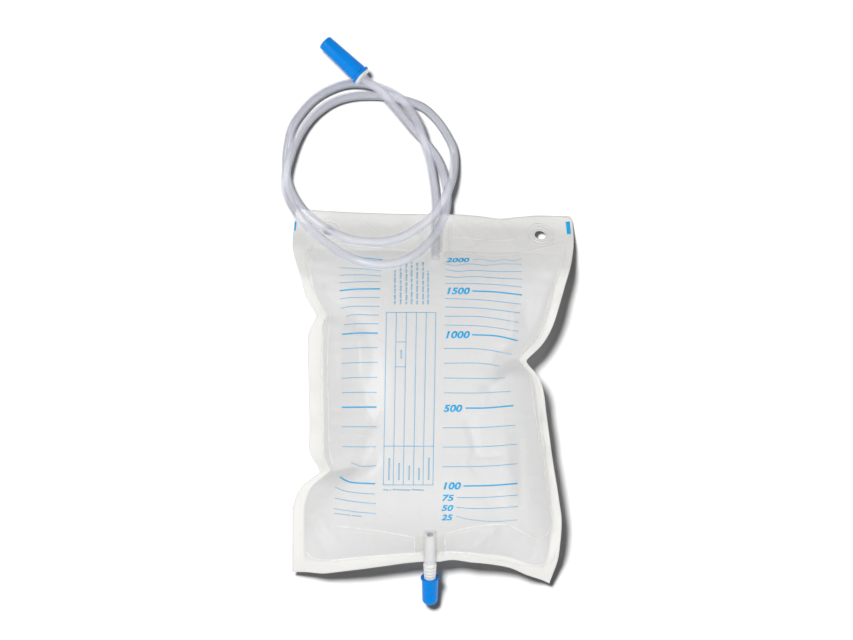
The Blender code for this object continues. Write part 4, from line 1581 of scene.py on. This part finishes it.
    def piece(self, name: str, bm: BMesh, finish: Finish) -> None:
        """Makes a layer of ink a piece with a little body.

        Args:
            name: The piece's name.
            bm: Its flat mesh, which is freed.
            finish: The ink.
        """
        bmesh.ops.recalc_face_normals(bm, faces=bm.faces)
        if sum(face.normal.z for face in bm.faces) < 0:
            bmesh.ops.reverse_faces(bm, faces=bm.faces)
        thicken(add_piece(name, bm, finish, self.effects), self.body, 1.0)

    def lines(self, name: str, lines: Sequence[tuple[float, Sequence[Point]]], finish: Finish) -> None:
        """Prints lines of ink as one piece.

        Args:
            name: The piece's name.
            lines: The width and the route of each line, in millimetres.
            finish: The ink.
        """
        bm = bmesh.new()
        for width, route in lines:
            self.drape.ribbon(bm, route, width, self.lift)
        self.piece(name, bm, finish)

    def table_x(self, column: int, y: float) -> float:
        """Finds a long line of the table.

        Args:
            column: The line's number, from the left.
            y: Place along it, in millimetres.

        Returns:
            The line's place across.
        """
        share = (y - self.table_bottom) / (self.table_top - self.table_bottom)
        low, high = self.table_bottom_x[column], self.table_top_x[column]
        return low + (high - low) * share

    def cell_middle(self, column: int, y: float) -> float:
        """Place across of the middle of a column, a little to its right as the small print is."""
        return (self.table_x(column, y) + self.table_x(column + 1, y)) / 2 + self.cell_shift

    def table(self) -> None:
        """Prints the empty table."""
        bm = bmesh.new()
        last = len(self.table_top_x) - 1
        for column in range(last + 1):
            ends = [(self.table_x(column, y), y) for y in (self.table_bottom, self.table_top)]
            self.drape.ribbon(bm, ends, self.thin, self.lift)
        rules = [(y, 0, last) for y in (self.table_bottom, self.table_rule, self.table_top)]
        for y, left, right in (*rules, *((y, 1, 2) for y in self.small_cell)):
            ends = [(self.table_x(left, y), y), (self.table_x(right, y), y)]
            self.drape.ribbon(bm, ends, self.thin, self.lift + self.layer)
        self.piece("record_table", bm, THIN_INK)

    def bars(self) -> list[tuple[float, Route]]:
        """Lists the plain bars that stand where small print is.

        Returns:
            The width and the route of each bar.
        """
        bars = []
        for column, length in enumerate(self.label_lengths):
            y = self.table_bottom + self.label_gap
            x = self.cell_middle(column, y)
            bars.append((self.bar, ((x, y), (x + self.label_lean, y + length))))
        middle = (self.small_cell[0] + self.small_cell[1]) / 2
        x = self.cell_middle(1, middle)
        bars.append((self.bar, ((x, middle - self.small_bar / 2), (x, middle + self.small_bar / 2))))
        swing, pace = self.word_shift
        for line, (x, high) in enumerate(zip(self.text_lines_x, self.text_high)):
            shift, run = swing * math.sin(pace * line), high - self.text_low
            for start, end in self.words:
                a = self.text_low + run * max(start + shift * (start > 0), 0.0)
                b = self.text_low + run * min(end + shift * (end < 1), 1.0)
                bars.append((self.text_width, ((x, a), (x + self.text_lean, b))))
        top, bottom = self.low_bars_y
        bars += [(self.low_bar, ((low, top), (high, bottom))) for low, high in self.low_bars]
        for ends in self.side_bars:
            start, top = self.side_bars_at
            fallen = tuple((x, top - (x - start) * self.side_bars_fall) for x in ends)
            bars.append((self.side_bar, fallen))
        return bars

    def glyphs(self, numeral: Numeral) -> Mesh:
        """Makes one numeral a flat mesh.

        Args:
            numeral: The numeral.

        Returns:
            Its mesh, still at the origin.
        """
        data = bpy.data.curves.new("numeral", "FONT")
        data.body = numeral.text
        data.shear = self.slant
        data.offset = self.stroke
        data.space_character = self.letter_space
        return flattened(data)

    def volumes(self) -> None:
        """Prints the volumes, squeezed in plan as the film slopes."""
        bm = bmesh.new()
        for numeral in self.numerals:
            mesh = self.glyphs(numeral)
            places = np.array([vert.co for vert in mesh.vertices])[:, :2]
            corner, size = places.min(axis=0), np.ptp(places, axis=0)
            across = (numeral.left + self.squeeze_at) * MM
            squeeze = self.drape.squeeze(across, numeral.middle * MM, Vector((0.0, 1.0)))
            wide, tall = (numeral.right - numeral.left) * MM, numeral.size * MM * squeeze
            for vert, (right, up) in zip(mesh.vertices, (places - corner) / size):
                x = numeral.left * MM + right * wide
                vert.co = self.drape.on(x, numeral.middle * MM + (up - 0.5) * tall, self.lift)
            bm.from_mesh(mesh)
            bpy.data.meshes.remove(mesh)
        self.piece("scale_volumes", bm, INK)

    def build(self) -> None:
        """Prints everything."""
        self.lines("scale_lines_bold", [(self.bold, route) for route in self.bold_lines_mm], INK)
        self.lines("scale_lines_thin", [(self.thin, route) for route in self.thin_lines_mm], THIN_INK)
        self.table()
        self.lines("small_print_bars", self.bars(), PALE_INK)
        self.volumes()
        self.lines("edge_marks", self.corner_marks, INK)


@dataclass
class Connector:
    """The white catheter connector at the tube's end and its blue cap."""

    effects: Effects
    at: Triple = (-0.0515, 0.2421, 0.0156)
    axis: Triple = (-0.72892, 0.67026, -0.13917)
    flange_radius: float = 0.0068
    flange_length: float = 0.0016
    length: float = 0.0335
    neck_radius: float = 0.0046
    tip_radius: float = 0.0034
    bore_radius: float = 0.0020
    socket_radius: float = 0.00350
    socket_depth: float = 0.0110
    cap_length: float = 0.0375
    cap_rim: float = 0.00765
    cap_mouth: float = 0.0065
    cap_end: float = 0.0055
    cap_wall: float = 0.0010
    cap_gap: float = 0.0002
    cap_edge: float = 0.00012
    taper: float = 0.0006
    grips: int = 4
    grip_pitch: float = 0.0035
    grip_height: float = 0.00022

    def body(self) -> None:
        """Turns the connector: flange with a socket, neck, and a taper with grip steps."""
        neck_end, tip = self.socket_depth + 0.0030, self.length
        fall = self.taper / (tip - neck_end - 0.0050)
        profile = [(self.tip_radius - 0.0003, tip), (self.tip_radius, tip - 0.0010)]
        for step in range(self.grips):
            height = tip - 0.0030 - self.grip_pitch * step
            radius = self.tip_radius + fall * (tip - height)
            raised = (radius + self.grip_height, height - 0.0006)
            profile += [(radius, height), raised, (radius, height - 0.0014)]
        profile += [
            (self.tip_radius + self.taper, neck_end + 0.0030), (self.neck_radius - 0.0003, neck_end),
            (self.neck_radius, neck_end - 0.0010), (self.neck_radius, self.flange_length),
            (self.flange_radius, self.flange_length), (self.flange_radius, 0.0),
            (self.socket_radius, 0.0), (self.socket_radius, self.socket_depth),
            (self.bore_radius, self.socket_depth + 0.0008), (self.bore_radius, tip),
        ]
        bm = Lathe(self.at, self.axis).turn(profile, True)
        made = add_piece("connector_body", bm, WHITE_PLASTIC, self.effects)
        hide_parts("catheter_connector")

    def cap(self) -> None:
        """Turns the cap: a slight taper, a groove before the rim, and a domed end."""
        top, mouth, end, rim = self.cap_length, self.cap_mouth, self.cap_end, self.cap_rim
        profile = [
            (0.0, top), (0.35 * end, top - 0.0001), (0.7 * end, top - 0.0004),
            (end - 0.0006, top - 0.0008), (end - 0.0001, top - 0.0013), (end, top - 0.0019),
            (mouth, 0.0032), (mouth - 0.00025, 0.0029), (mouth - 0.00025, 0.0023),
            (rim - 0.00045, 0.0019), (rim, 0.0015), (rim, 0.0003), (rim - 0.0002, 0.0),
            (mouth - self.cap_wall, 0.0), (mouth - self.cap_wall, 0.0010),
            (end - self.cap_wall, top - 0.0024), (0.0, top - 0.0020),
        ]
        at = Vector(self.at) + Vector(self.axis) * (self.flange_length + self.cap_gap)
        bm = Lathe(tuple(at), self.axis, edge_radius=self.cap_edge).turn(profile, False)
        made = add_piece("connector_cover", bm, BLUE_CAP, self.effects, CONNECTOR_CAP_BODY)
        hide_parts("connector_cap")

    def build(self) -> None:
        """Makes both pieces."""
        self.body()
        self.cap()


@dataclass
class InletTube:
    """The long tube: in through the top weld, over the table and the bag, into the connector."""

    shape: BagShape
    film: BVHTree
    effects: Effects
    connector: Connector
    diameter: float = 0.0067
    wall: float = 0.0010
    length: float = 0.953
    reach_in: float = 0.0060
    clearance: float = 0.0002
    stations: int = 66
    rings: int = 520
    socket_depth: float = 0.0107
    straight_entry: float = 0.006
    height_step: float = 0.0002
    turns: int = 160
    easing_turns: int = 120
    stiffness: float = 0.4
    hold: float = 0.1
    exit_along: float = 0.955
    route: tuple[Triple, ...] = (
        (0.0017, 0.1530, 0.0), (-0.0016, 0.1763, 0.0), (-0.0064, 0.1935, 1.0), (-0.0130, 0.2120, 1.1),
        (-0.0262, 0.2282, 1.0), (-0.0463, 0.2365, 0.0), (-0.0610, 0.2375, 0.0), (-0.0715, 0.2350, 0.0),
        (-0.0830, 0.2290, 0.0), (-0.0925, 0.2210, 0.0), (-0.1042, 0.2034, 0.0), (-0.1078, 0.1726, 0.0),
        (-0.1005, 0.1521, 0.0), (-0.0845, 0.1352, 0.0), (-0.0610, 0.1235, 0.0), (-0.0316, 0.1220, 0.0),
        (-0.0089, 0.1330, 0.2), (-0.0012, 0.1396, 1.0), (0.0050, 0.1473, 1.3), (0.0132, 0.1650, 0.8),
        (0.0151, 0.1741, 0.2), (0.0149, 0.1873, 0.0), (0.0124, 0.1953, 0.0), (0.0058, 0.2063, 0.0),
        (-0.0023, 0.2159, 0.0), (-0.0126, 0.2225, 0.0), (-0.0353, 0.2283, 0.0), (-0.0610, 0.2279, 0.0),
        (-0.0771, 0.2220, 0.0), (-0.0892, 0.2123, 0.3), (-0.0990, 0.1990, 0.8), (-0.1078, 0.1726, 1.1),
        (-0.1057, 0.1521, 0.8), (-0.0888, 0.1301, 0.0), (-0.0749, 0.1184, 0.0), (-0.0562, 0.1081, 0.0),
        (-0.0375, 0.1048, 0.0), (-0.0243, 0.1067, 0.0), (-0.0150, 0.1110, 0.0), (-0.0012, 0.1231, 0.0),
        (0.0085, 0.1414, 0.0), (0.0098, 0.1594, 0.0), (0.0025, 0.1836, 0.0), (-0.0155, 0.2049, 0.1),
        (-0.0316, 0.2247, 1.5), (-0.0390, 0.2327, 1.75),
    )

    @property
    def reach(self) -> float:
        """Distance that the axis keeps from whatever it lies on."""
        return self.diameter / 2 + self.clearance

    def rest_height(self, x: float, y: float) -> float:
        """Finds the lowest height at which the tube's axis clears the table and the film.

        Args:
            x: Place across.
            y: Place along.

        Returns:
            The height.
        """
        hit = self.film.ray_cast(Vector((x, y, HIGH_ABOVE)), DOWN)[0]
        height = self.reach if hit is None else max(self.reach, hit.z + self.reach)
        while self.film.find_nearest(Vector((x, y, height)), self.reach)[0] is not None:
            height += self.height_step
        return height

    def settle(self, points: np.ndarray, first: int, last: int) -> np.ndarray:
        """Eases the tube's rises, and keeps it clear of the film and of the stretches under it.

        Args:
            points: The axis, one row a point.
            first: Number of points at the start that stay.
            last: Number of points at the end that stay.

        Returns:
            The settled axis.
        """
        points = points.copy()
        laid = points[:, 2].copy()
        share = np.linspace(0, 1, 6, endpoint=False)
        free = slice(first, len(points) - last)
        for turn in range(self.turns):
            if turn < self.easing_turns:
                level = (points[first - 1 : -last - 1, 2] + points[first + 1 : 1 - last, 2]) / 2
                bend = self.stiffness * (level - points[free, 2])
                points[free, 2] += bend + self.hold * (laid[free] - points[free, 2])
            runs = points[:-1, None] + (points[1:] - points[:-1])[:, None] * share[None, :, None]
            fine = runs.reshape(-1, 3)
            along = np.arange(len(fine)) / len(share)
            apart = np.linalg.norm(fine[:, None] - fine[None], axis=2)
            near = (apart < 2 * self.reach) & (along[:, None] - along[None] > 4)
            short = []
            for i, j in np.argwhere(near):
                short.append((i if fine[i, 2] > fine[j, 2] else j, 2 * self.reach - apart[i, j]))
            for i in range(len(share) * first, len(fine)):
                off = self.film.find_nearest(Vector(fine[i]), self.reach)[3]
                if off is not None:
                    short.append((i, self.reach - off))
            lift = np.zeros(len(points))
            for i, missing in short:
                k = int(along[i])
                lift[k : k + 2] = np.maximum(lift[k : k + 2], missing)
            points[free, 2] = np.maximum(points[free, 2] + lift[free], self.reach)
        return points

    def axis(self) -> np.ndarray:
        """Finds the tube's axis from its open end in the bag to the connector.

        Returns:
            Points, one row each.
        """
        start = self.shape.high_weld - self.reach_in / self.shape.length
        t = np.array([start, *np.linspace(self.shape.high_weld, 1.0, 5)])
        through = self.shape.weld_sheet(np.zeros_like(t), t)
        line = smooth_curve([(*through[-1, :2], 0.0), *self.route], 12)
        laid = evenly(line, self.stations, 2)[1:]
        turns = laid[:, 2] * (self.diameter + self.clearance)
        laid[:, 2] = turns + [self.rest_height(x, y) for x, y, _ in laid]
        at, run = np.array(self.connector.at), np.array(self.connector.axis)
        into = [at + run * along for along in (-self.straight_entry, 0.0, self.socket_depth)]
        return self.settle(np.vstack([through, laid, into]), len(through), len(into))

    def build(self) -> Object:
        """Returns:
            The tube.
        """
        axis = evenly(smooth_curve(self.axis(), 10), self.rings, 3)
        data = bpy.data.curves.new("tube_line", "CURVE")
        data.dimensions = "3D"
        data.bevel_depth = self.diameter / 2
        data.bevel_resolution = 4
        line = data.splines.new("POLY")
        line.points.add(len(axis) - 1)
        for spot, point in zip(line.points, axis):
            spot.co = (*point, 1.0)
        mesh = flattened(data)
        bm = bmesh.new()
        bm.from_mesh(mesh)
        bpy.data.meshes.remove(mesh)
        bmesh.ops.remove_doubles(bm, verts=bm.verts, dist=MERGE_DISTANCE)
        made = add_piece("drain_tube", bm, TUBE_PVC, self.effects)
        thicken(made, self.wall, -1.0)
        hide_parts("inlet_tube")
        exit_at = self.shape.weld_sheet(np.zeros(1), np.full(1, self.exit_along))[0]
        return made


@dataclass
class Outlet:
    """The outlet: a clear tube in the bottom weld, a ribbed nozzle and a pull-off cap."""

    shape: BagShape
    effects: Effects
    reach_in: float = 0.0245
    reach_out: float = 0.0002
    bore_radius: float = 0.0023
    fit_gap: float = 0.0003
    nozzle_length: float = 0.0248
    shank: float = 0.0070
    neck: float = 0.0010
    root_radius: float = 0.0049
    tip_radius: float = 0.0038
    nozzle_bore: float = 0.0011
    ribs: int = 6
    rib_pitch: float = 0.0028
    rib_height: float = 0.0008
    cap_length: float = 0.0232
    cap_radius: float = 0.00595
    cap_rim: float = 0.00685
    cap_bead: float = 0.0018
    cap_overlap: float = 0.0115
    cap_corner: float = 0.0035
    cap_wall: float = 0.0010
    soft_edge: float = 0.00015
    crisp_edge: float = 0.00008
    rib_shape: Route = (
        (0.97, 1.0), (0.80, 0.95), (0.68, 0.15), (0.58, 0.0), (0.22, 0.02), (0.04, 0.20),
    )

    @property
    def axis(self) -> Vector:
        """Unit direction out of the bag."""
        return Vector((0.0, -math.cos(self.shape.outlet_dip), -math.sin(self.shape.outlet_dip)))

    @property
    def edge(self) -> Vector:
        """Where the axis leaves the bottom weld."""
        return Vector(self.shape.weld_sheet(np.zeros(1), np.zeros(1))[0])

    def lathe(self, along: float, edge_radius: float) -> Lathe:
        """Sets up a lathe on the outlet's axis.

        Args:
            along: Distance of its zero from the weld's edge.
            edge_radius: How far sharp edges are softened.

        Returns:
            The lathe.
        """
        at = self.edge + self.axis * along
        return Lathe(tuple(at), tuple(self.axis), edge_radius=edge_radius)

    def arc(self, middle: Point, radius: float, angles: Sequence[int]) -> list[Point]:
        """Points of a round edge.

        Args:
            middle: Middle of the round, as radius and height.
            radius: Its own radius.
            angles: Degrees up from straight out.

        Returns:
            The points.
        """
        turns = [math.radians(angle) for angle in angles]
        return [(middle[0] + radius * math.cos(a), middle[1] + radius * math.sin(a)) for a in turns]

    def mark_hollow_shade(self, bm: BMesh, start: float, radius: float, fall: float, depth: float) -> None:
        """Marks how far each place lies below the outside, for the painted shade of the finish's
        hollows.

        Args:
            bm: The piece's mesh.
            start: Distance from the weld's edge at which the outer radius is given.
            radius: The outer radius there.
            fall: How fast it tapers.
            depth: The depth at which the mark is 1.
        """
        layer = bm.verts.layers.float.new("hollow")
        for vert in bm.verts:
            off = vert.co - self.edge
            along = off.dot(self.axis)
            outer = radius - fall * max(along - start, 0.0)
            below = outer - (off - self.axis * along).length
            vert[layer] = min(max(below / depth, 0.0), 1.0) if along > start else 0.0

    def tube(self) -> None:
        """Turns the clear tube."""
        radius, bore = self.shape.outlet_radius, self.bore_radius
        low, high = -self.reach_in, self.reach_out
        profile = [(radius, high), (radius, low), (bore, low), (bore, high)]
        bm = self.lathe(0.0, self.soft_edge).turn(profile, True)
        # marks the bore wall for its painted shade
        self.mark_hollow_shade(bm, low - MM, radius, 0.0, radius - bore)
        made = add_piece("outlet_pipe", bm, OUTLET_PVC, self.effects)
        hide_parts("outlet_tube")

    def nozzle(self) -> None:
        """Turns the ribbed nozzle."""
        root, tip = self.reach_out + self.fit_gap, self.reach_out + self.nozzle_length
        fall = (self.root_radius - self.tip_radius) / (tip - root)
        shank, outer = self.bore_radius - self.fit_gap, self.shape.outlet_radius
        profile = [(self.tip_radius - 0.0005, tip), (self.tip_radius, tip - 0.0008)]
        for rib in reversed(range(self.ribs)):
            at = root + self.neck + rib * self.rib_pitch
            radius = self.root_radius - fall * rib * self.rib_pitch
            for share, drop in self.rib_shape:
                profile.append((radius - drop * self.rib_height, at + share * self.rib_pitch))
        profile += [(outer, root + self.neck), (outer, root), (shank, root), (shank, root - self.shank)]
        profile += [(self.nozzle_bore, root - self.shank), (self.nozzle_bore, tip)]
        bm = self.lathe(0.0, self.crisp_edge).turn(profile, True)
        # marks the rib grooves and the bore for their painted shade
        self.mark_hollow_shade(bm, root + self.neck, self.root_radius, fall, self.rib_height)
        made = add_piece("drain_nozzle", bm, WHITE_NOZZLE, self.effects)
        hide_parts("outlet_nozzle")

    def cap(self) -> None:
        """Turns the cap: a rolled rim and a rounded end."""
        top, radius, rim = self.cap_length, self.cap_radius, self.cap_rim
        corner, bead, end = self.cap_corner, self.cap_bead, self.cap_radius - 0.0003
        inner = radius - self.cap_wall
        profile = [(0.0, top)]
        profile += self.arc((end - corner, top - corner), corner, range(90, -1, -15))
        profile.append((radius, bead + 0.0005))
        profile += self.arc((rim - bead / 2, bead / 2), bead / 2, range(60, -91, -30))
        profile += [(inner + 0.0003, 0.0), (inner, 0.0008)]
        profile += [(end - self.cap_wall, top - corner), (end - corner, top - self.cap_wall - 0.0006)]
        profile.append((0.0, top - self.cap_wall))
        mouth = self.reach_out + self.nozzle_length - self.cap_overlap
        bm = self.lathe(mouth, self.crisp_edge).turn(profile, False)
        made = add_piece("drain_cover", bm, BLUE_OUTLET_CAP, self.effects, OUTLET_CAP_BODY)
        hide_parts("outlet_cap")

    def build(self) -> None:
        """Makes the three pieces."""
        self.tube()
        self.nozzle()
        self.cap()


@dataclass
class Studio:
    """Camera, lights, world and floor."""

    view_width: float = 0.6253
    view_centre: Point = (-0.0049, 0.0641)
    camera_height: float = 1.2
    ambient: float = 0.07
    key_strength: float = 1.15
    key_angle: float = math.radians(16.0)
    key_from: Triple = (-0.70, 0.20, 0.9)
    floor_key_strength: float = 7.60
    floor_key_angle: float = math.radians(11.0)
    floor_key_from: Triple = (-0.20, 0.26, 1.0)
    fill_strength: float = 0.98
    fill_angle: float = math.radians(70.0)
    fill_from: tuple[Triple, ...] = (
        (1.0, 0.3, 0.8), (0.6, -0.7, 0.9), (-0.6, -0.6, 0.9),
    )
    floor_glow: float = 0.03
    floor_size: float = 4.0
    floor_grey: float = 0.41
    floor_roughness: float = 0.9
    lamps: list[Object] = field(default_factory=list)

    def camera(self) -> None:
        """Looks straight down, as the photograph does, without perspective."""
        data = bpy.data.cameras.new("camera")
        data.type = "ORTHO"
        data.ortho_scale = self.view_width
        made = place("camera", data)
        made.location = (*self.view_centre, self.camera_height)
        bpy.context.scene.camera = made

    def lamp(self, name: str, strength: float, angle: float, source: Triple) -> Object:
        """Adds a distant lamp.

        Args:
            name: The lamp's name.
            strength: Its light in watts per square metre.
            angle: How wide it looks, which softens its shadow.
            source: Direction that the light comes from.

        Returns:
            The lamp.
        """
        data = bpy.data.lights.new(name, "SUN")
        data.energy = strength
        data.angle = angle
        made = place(name, data)
        made.rotation_euler = Vector(source).to_track_quat("Z", "Y").to_euler()
        return made

    def linked(self, name: str, member: Object, state: str) -> Collection:
        """Makes a collection that lamps are linked to.

        Args:
            name: Its name.
            member: The object in it.
            state: Whether the lamps take only this object, INCLUDE, or all others, EXCLUDE.

        Returns:
            The collection.
        """
        made = bpy.data.collections.new(name)
        made.objects.link(member)
        made.collection_objects[0].light_linking.link_state = state
        return made

    def shine(self, floor: Object) -> None:
        """Adds the lamps: a key and broad fill for the object, and a steeper key for the floor.

        Args:
            floor: The floor.
        """
        others = self.linked("not_for_floor", floor, "EXCLUDE")
        steep = self.lamp(
            "floor_key", self.floor_key_strength, self.floor_key_angle, self.floor_key_from
        )
        steep.light_linking.receiver_collection = self.linked("for_floor", floor, "INCLUDE")
        self.lamps = [self.lamp("key", self.key_strength, self.key_angle, self.key_from)]
        for number, source in enumerate(self.fill_from):
            self.lamps.append(self.lamp(f"fill_{number}", self.fill_strength, self.fill_angle, source))
        for lamp in self.lamps:
            lamp.light_linking.receiver_collection = others

    def let_through(self, tube: Object) -> None:
        """Keeps the clear tube from shading the film: it scatters light rather than stopping it.

        Args:
            tube: The tube.
        """
        clear = self.linked("not_shading", tube, "EXCLUDE")
        for lamp in self.lamps:
            lamp.light_linking.blocker_collection = clear

    def world(self) -> None:
        """White to the camera, to gloss and through glass, and soft light for everything else."""
        world = bpy.data.worlds.new("studio")
        world.use_nodes = True
        bpy.context.scene.world = world
        nodes = Nodes(world.node_tree)
        path = nodes.add("ShaderNodeLightPath").outputs
        seen = nodes.maths("MAXIMUM", path["Is Camera Ray"], path["Is Glossy Ray"])
        seen = nodes.maths("MAXIMUM", seen, path["Is Transmission Ray"])
        strength = nodes.remap(seen, FULL_RANGE, self.ambient, 1.0)
        nodes.feed(world.node_tree.nodes["Background"], {"Color": WHITE, "Strength": strength})

    def floor(self) -> Object:
        """Makes the pale table, which shows white and keeps the shadow.

        Returns:
            The table.
        """
        bm = bmesh.new()
        bmesh.ops.create_grid(bm, x_segments=1, y_segments=1, size=self.floor_size / 2)
        mesh = bpy.data.meshes.new("floor")
        bm.to_mesh(mesh)
        bm.free()
        made = place("floor", mesh)
        material = bpy.data.materials.new("floor")
        material.use_nodes = True
        nodes = Nodes(material.node_tree)
        path = nodes.add("ShaderNodeLightPath").outputs
        look = {
            "Base Color": (self.floor_grey, self.floor_grey, self.floor_grey, 1.0),
            "Roughness": self.floor_roughness,
            "Emission Color": WHITE,
            "Emission Strength": nodes.maths("MULTIPLY", path["Is Camera Ray"], self.floor_glow),
        }
        nodes.feed(material.node_tree.nodes["Principled BSDF"], look)
        mesh.materials.append(material)
        return made

    def build(self) -> None:
        """Sets up the whole studio."""
        bpy.context.scene.view_settings.view_transform = "Standard"
        self.camera()
        self.world()
        self.shine(self.floor())


def main() -> None:
    """Builds the object in order and reports each piece."""
    logging.basicConfig(level=logging.INFO, format="%(name)s: %(message)s")
    studio = Studio()
    studio.build()
    effects = Effects(mottle_group(), crinkle_group())
    shape = BagShape()
    films = Films(shape, effects)
    drape = Drape(surface_of(films.build()))
    connector = Connector(effects)
    connector.build()
    tube = InletTube(shape, drape.surface, effects, connector).build()
    studio.let_through(tube)
    Outlet(shape, effects).build()
    Welds(films, drape, effects).build()
    Print(drape, effects).build()


if __name__ == "__main__":
    main()
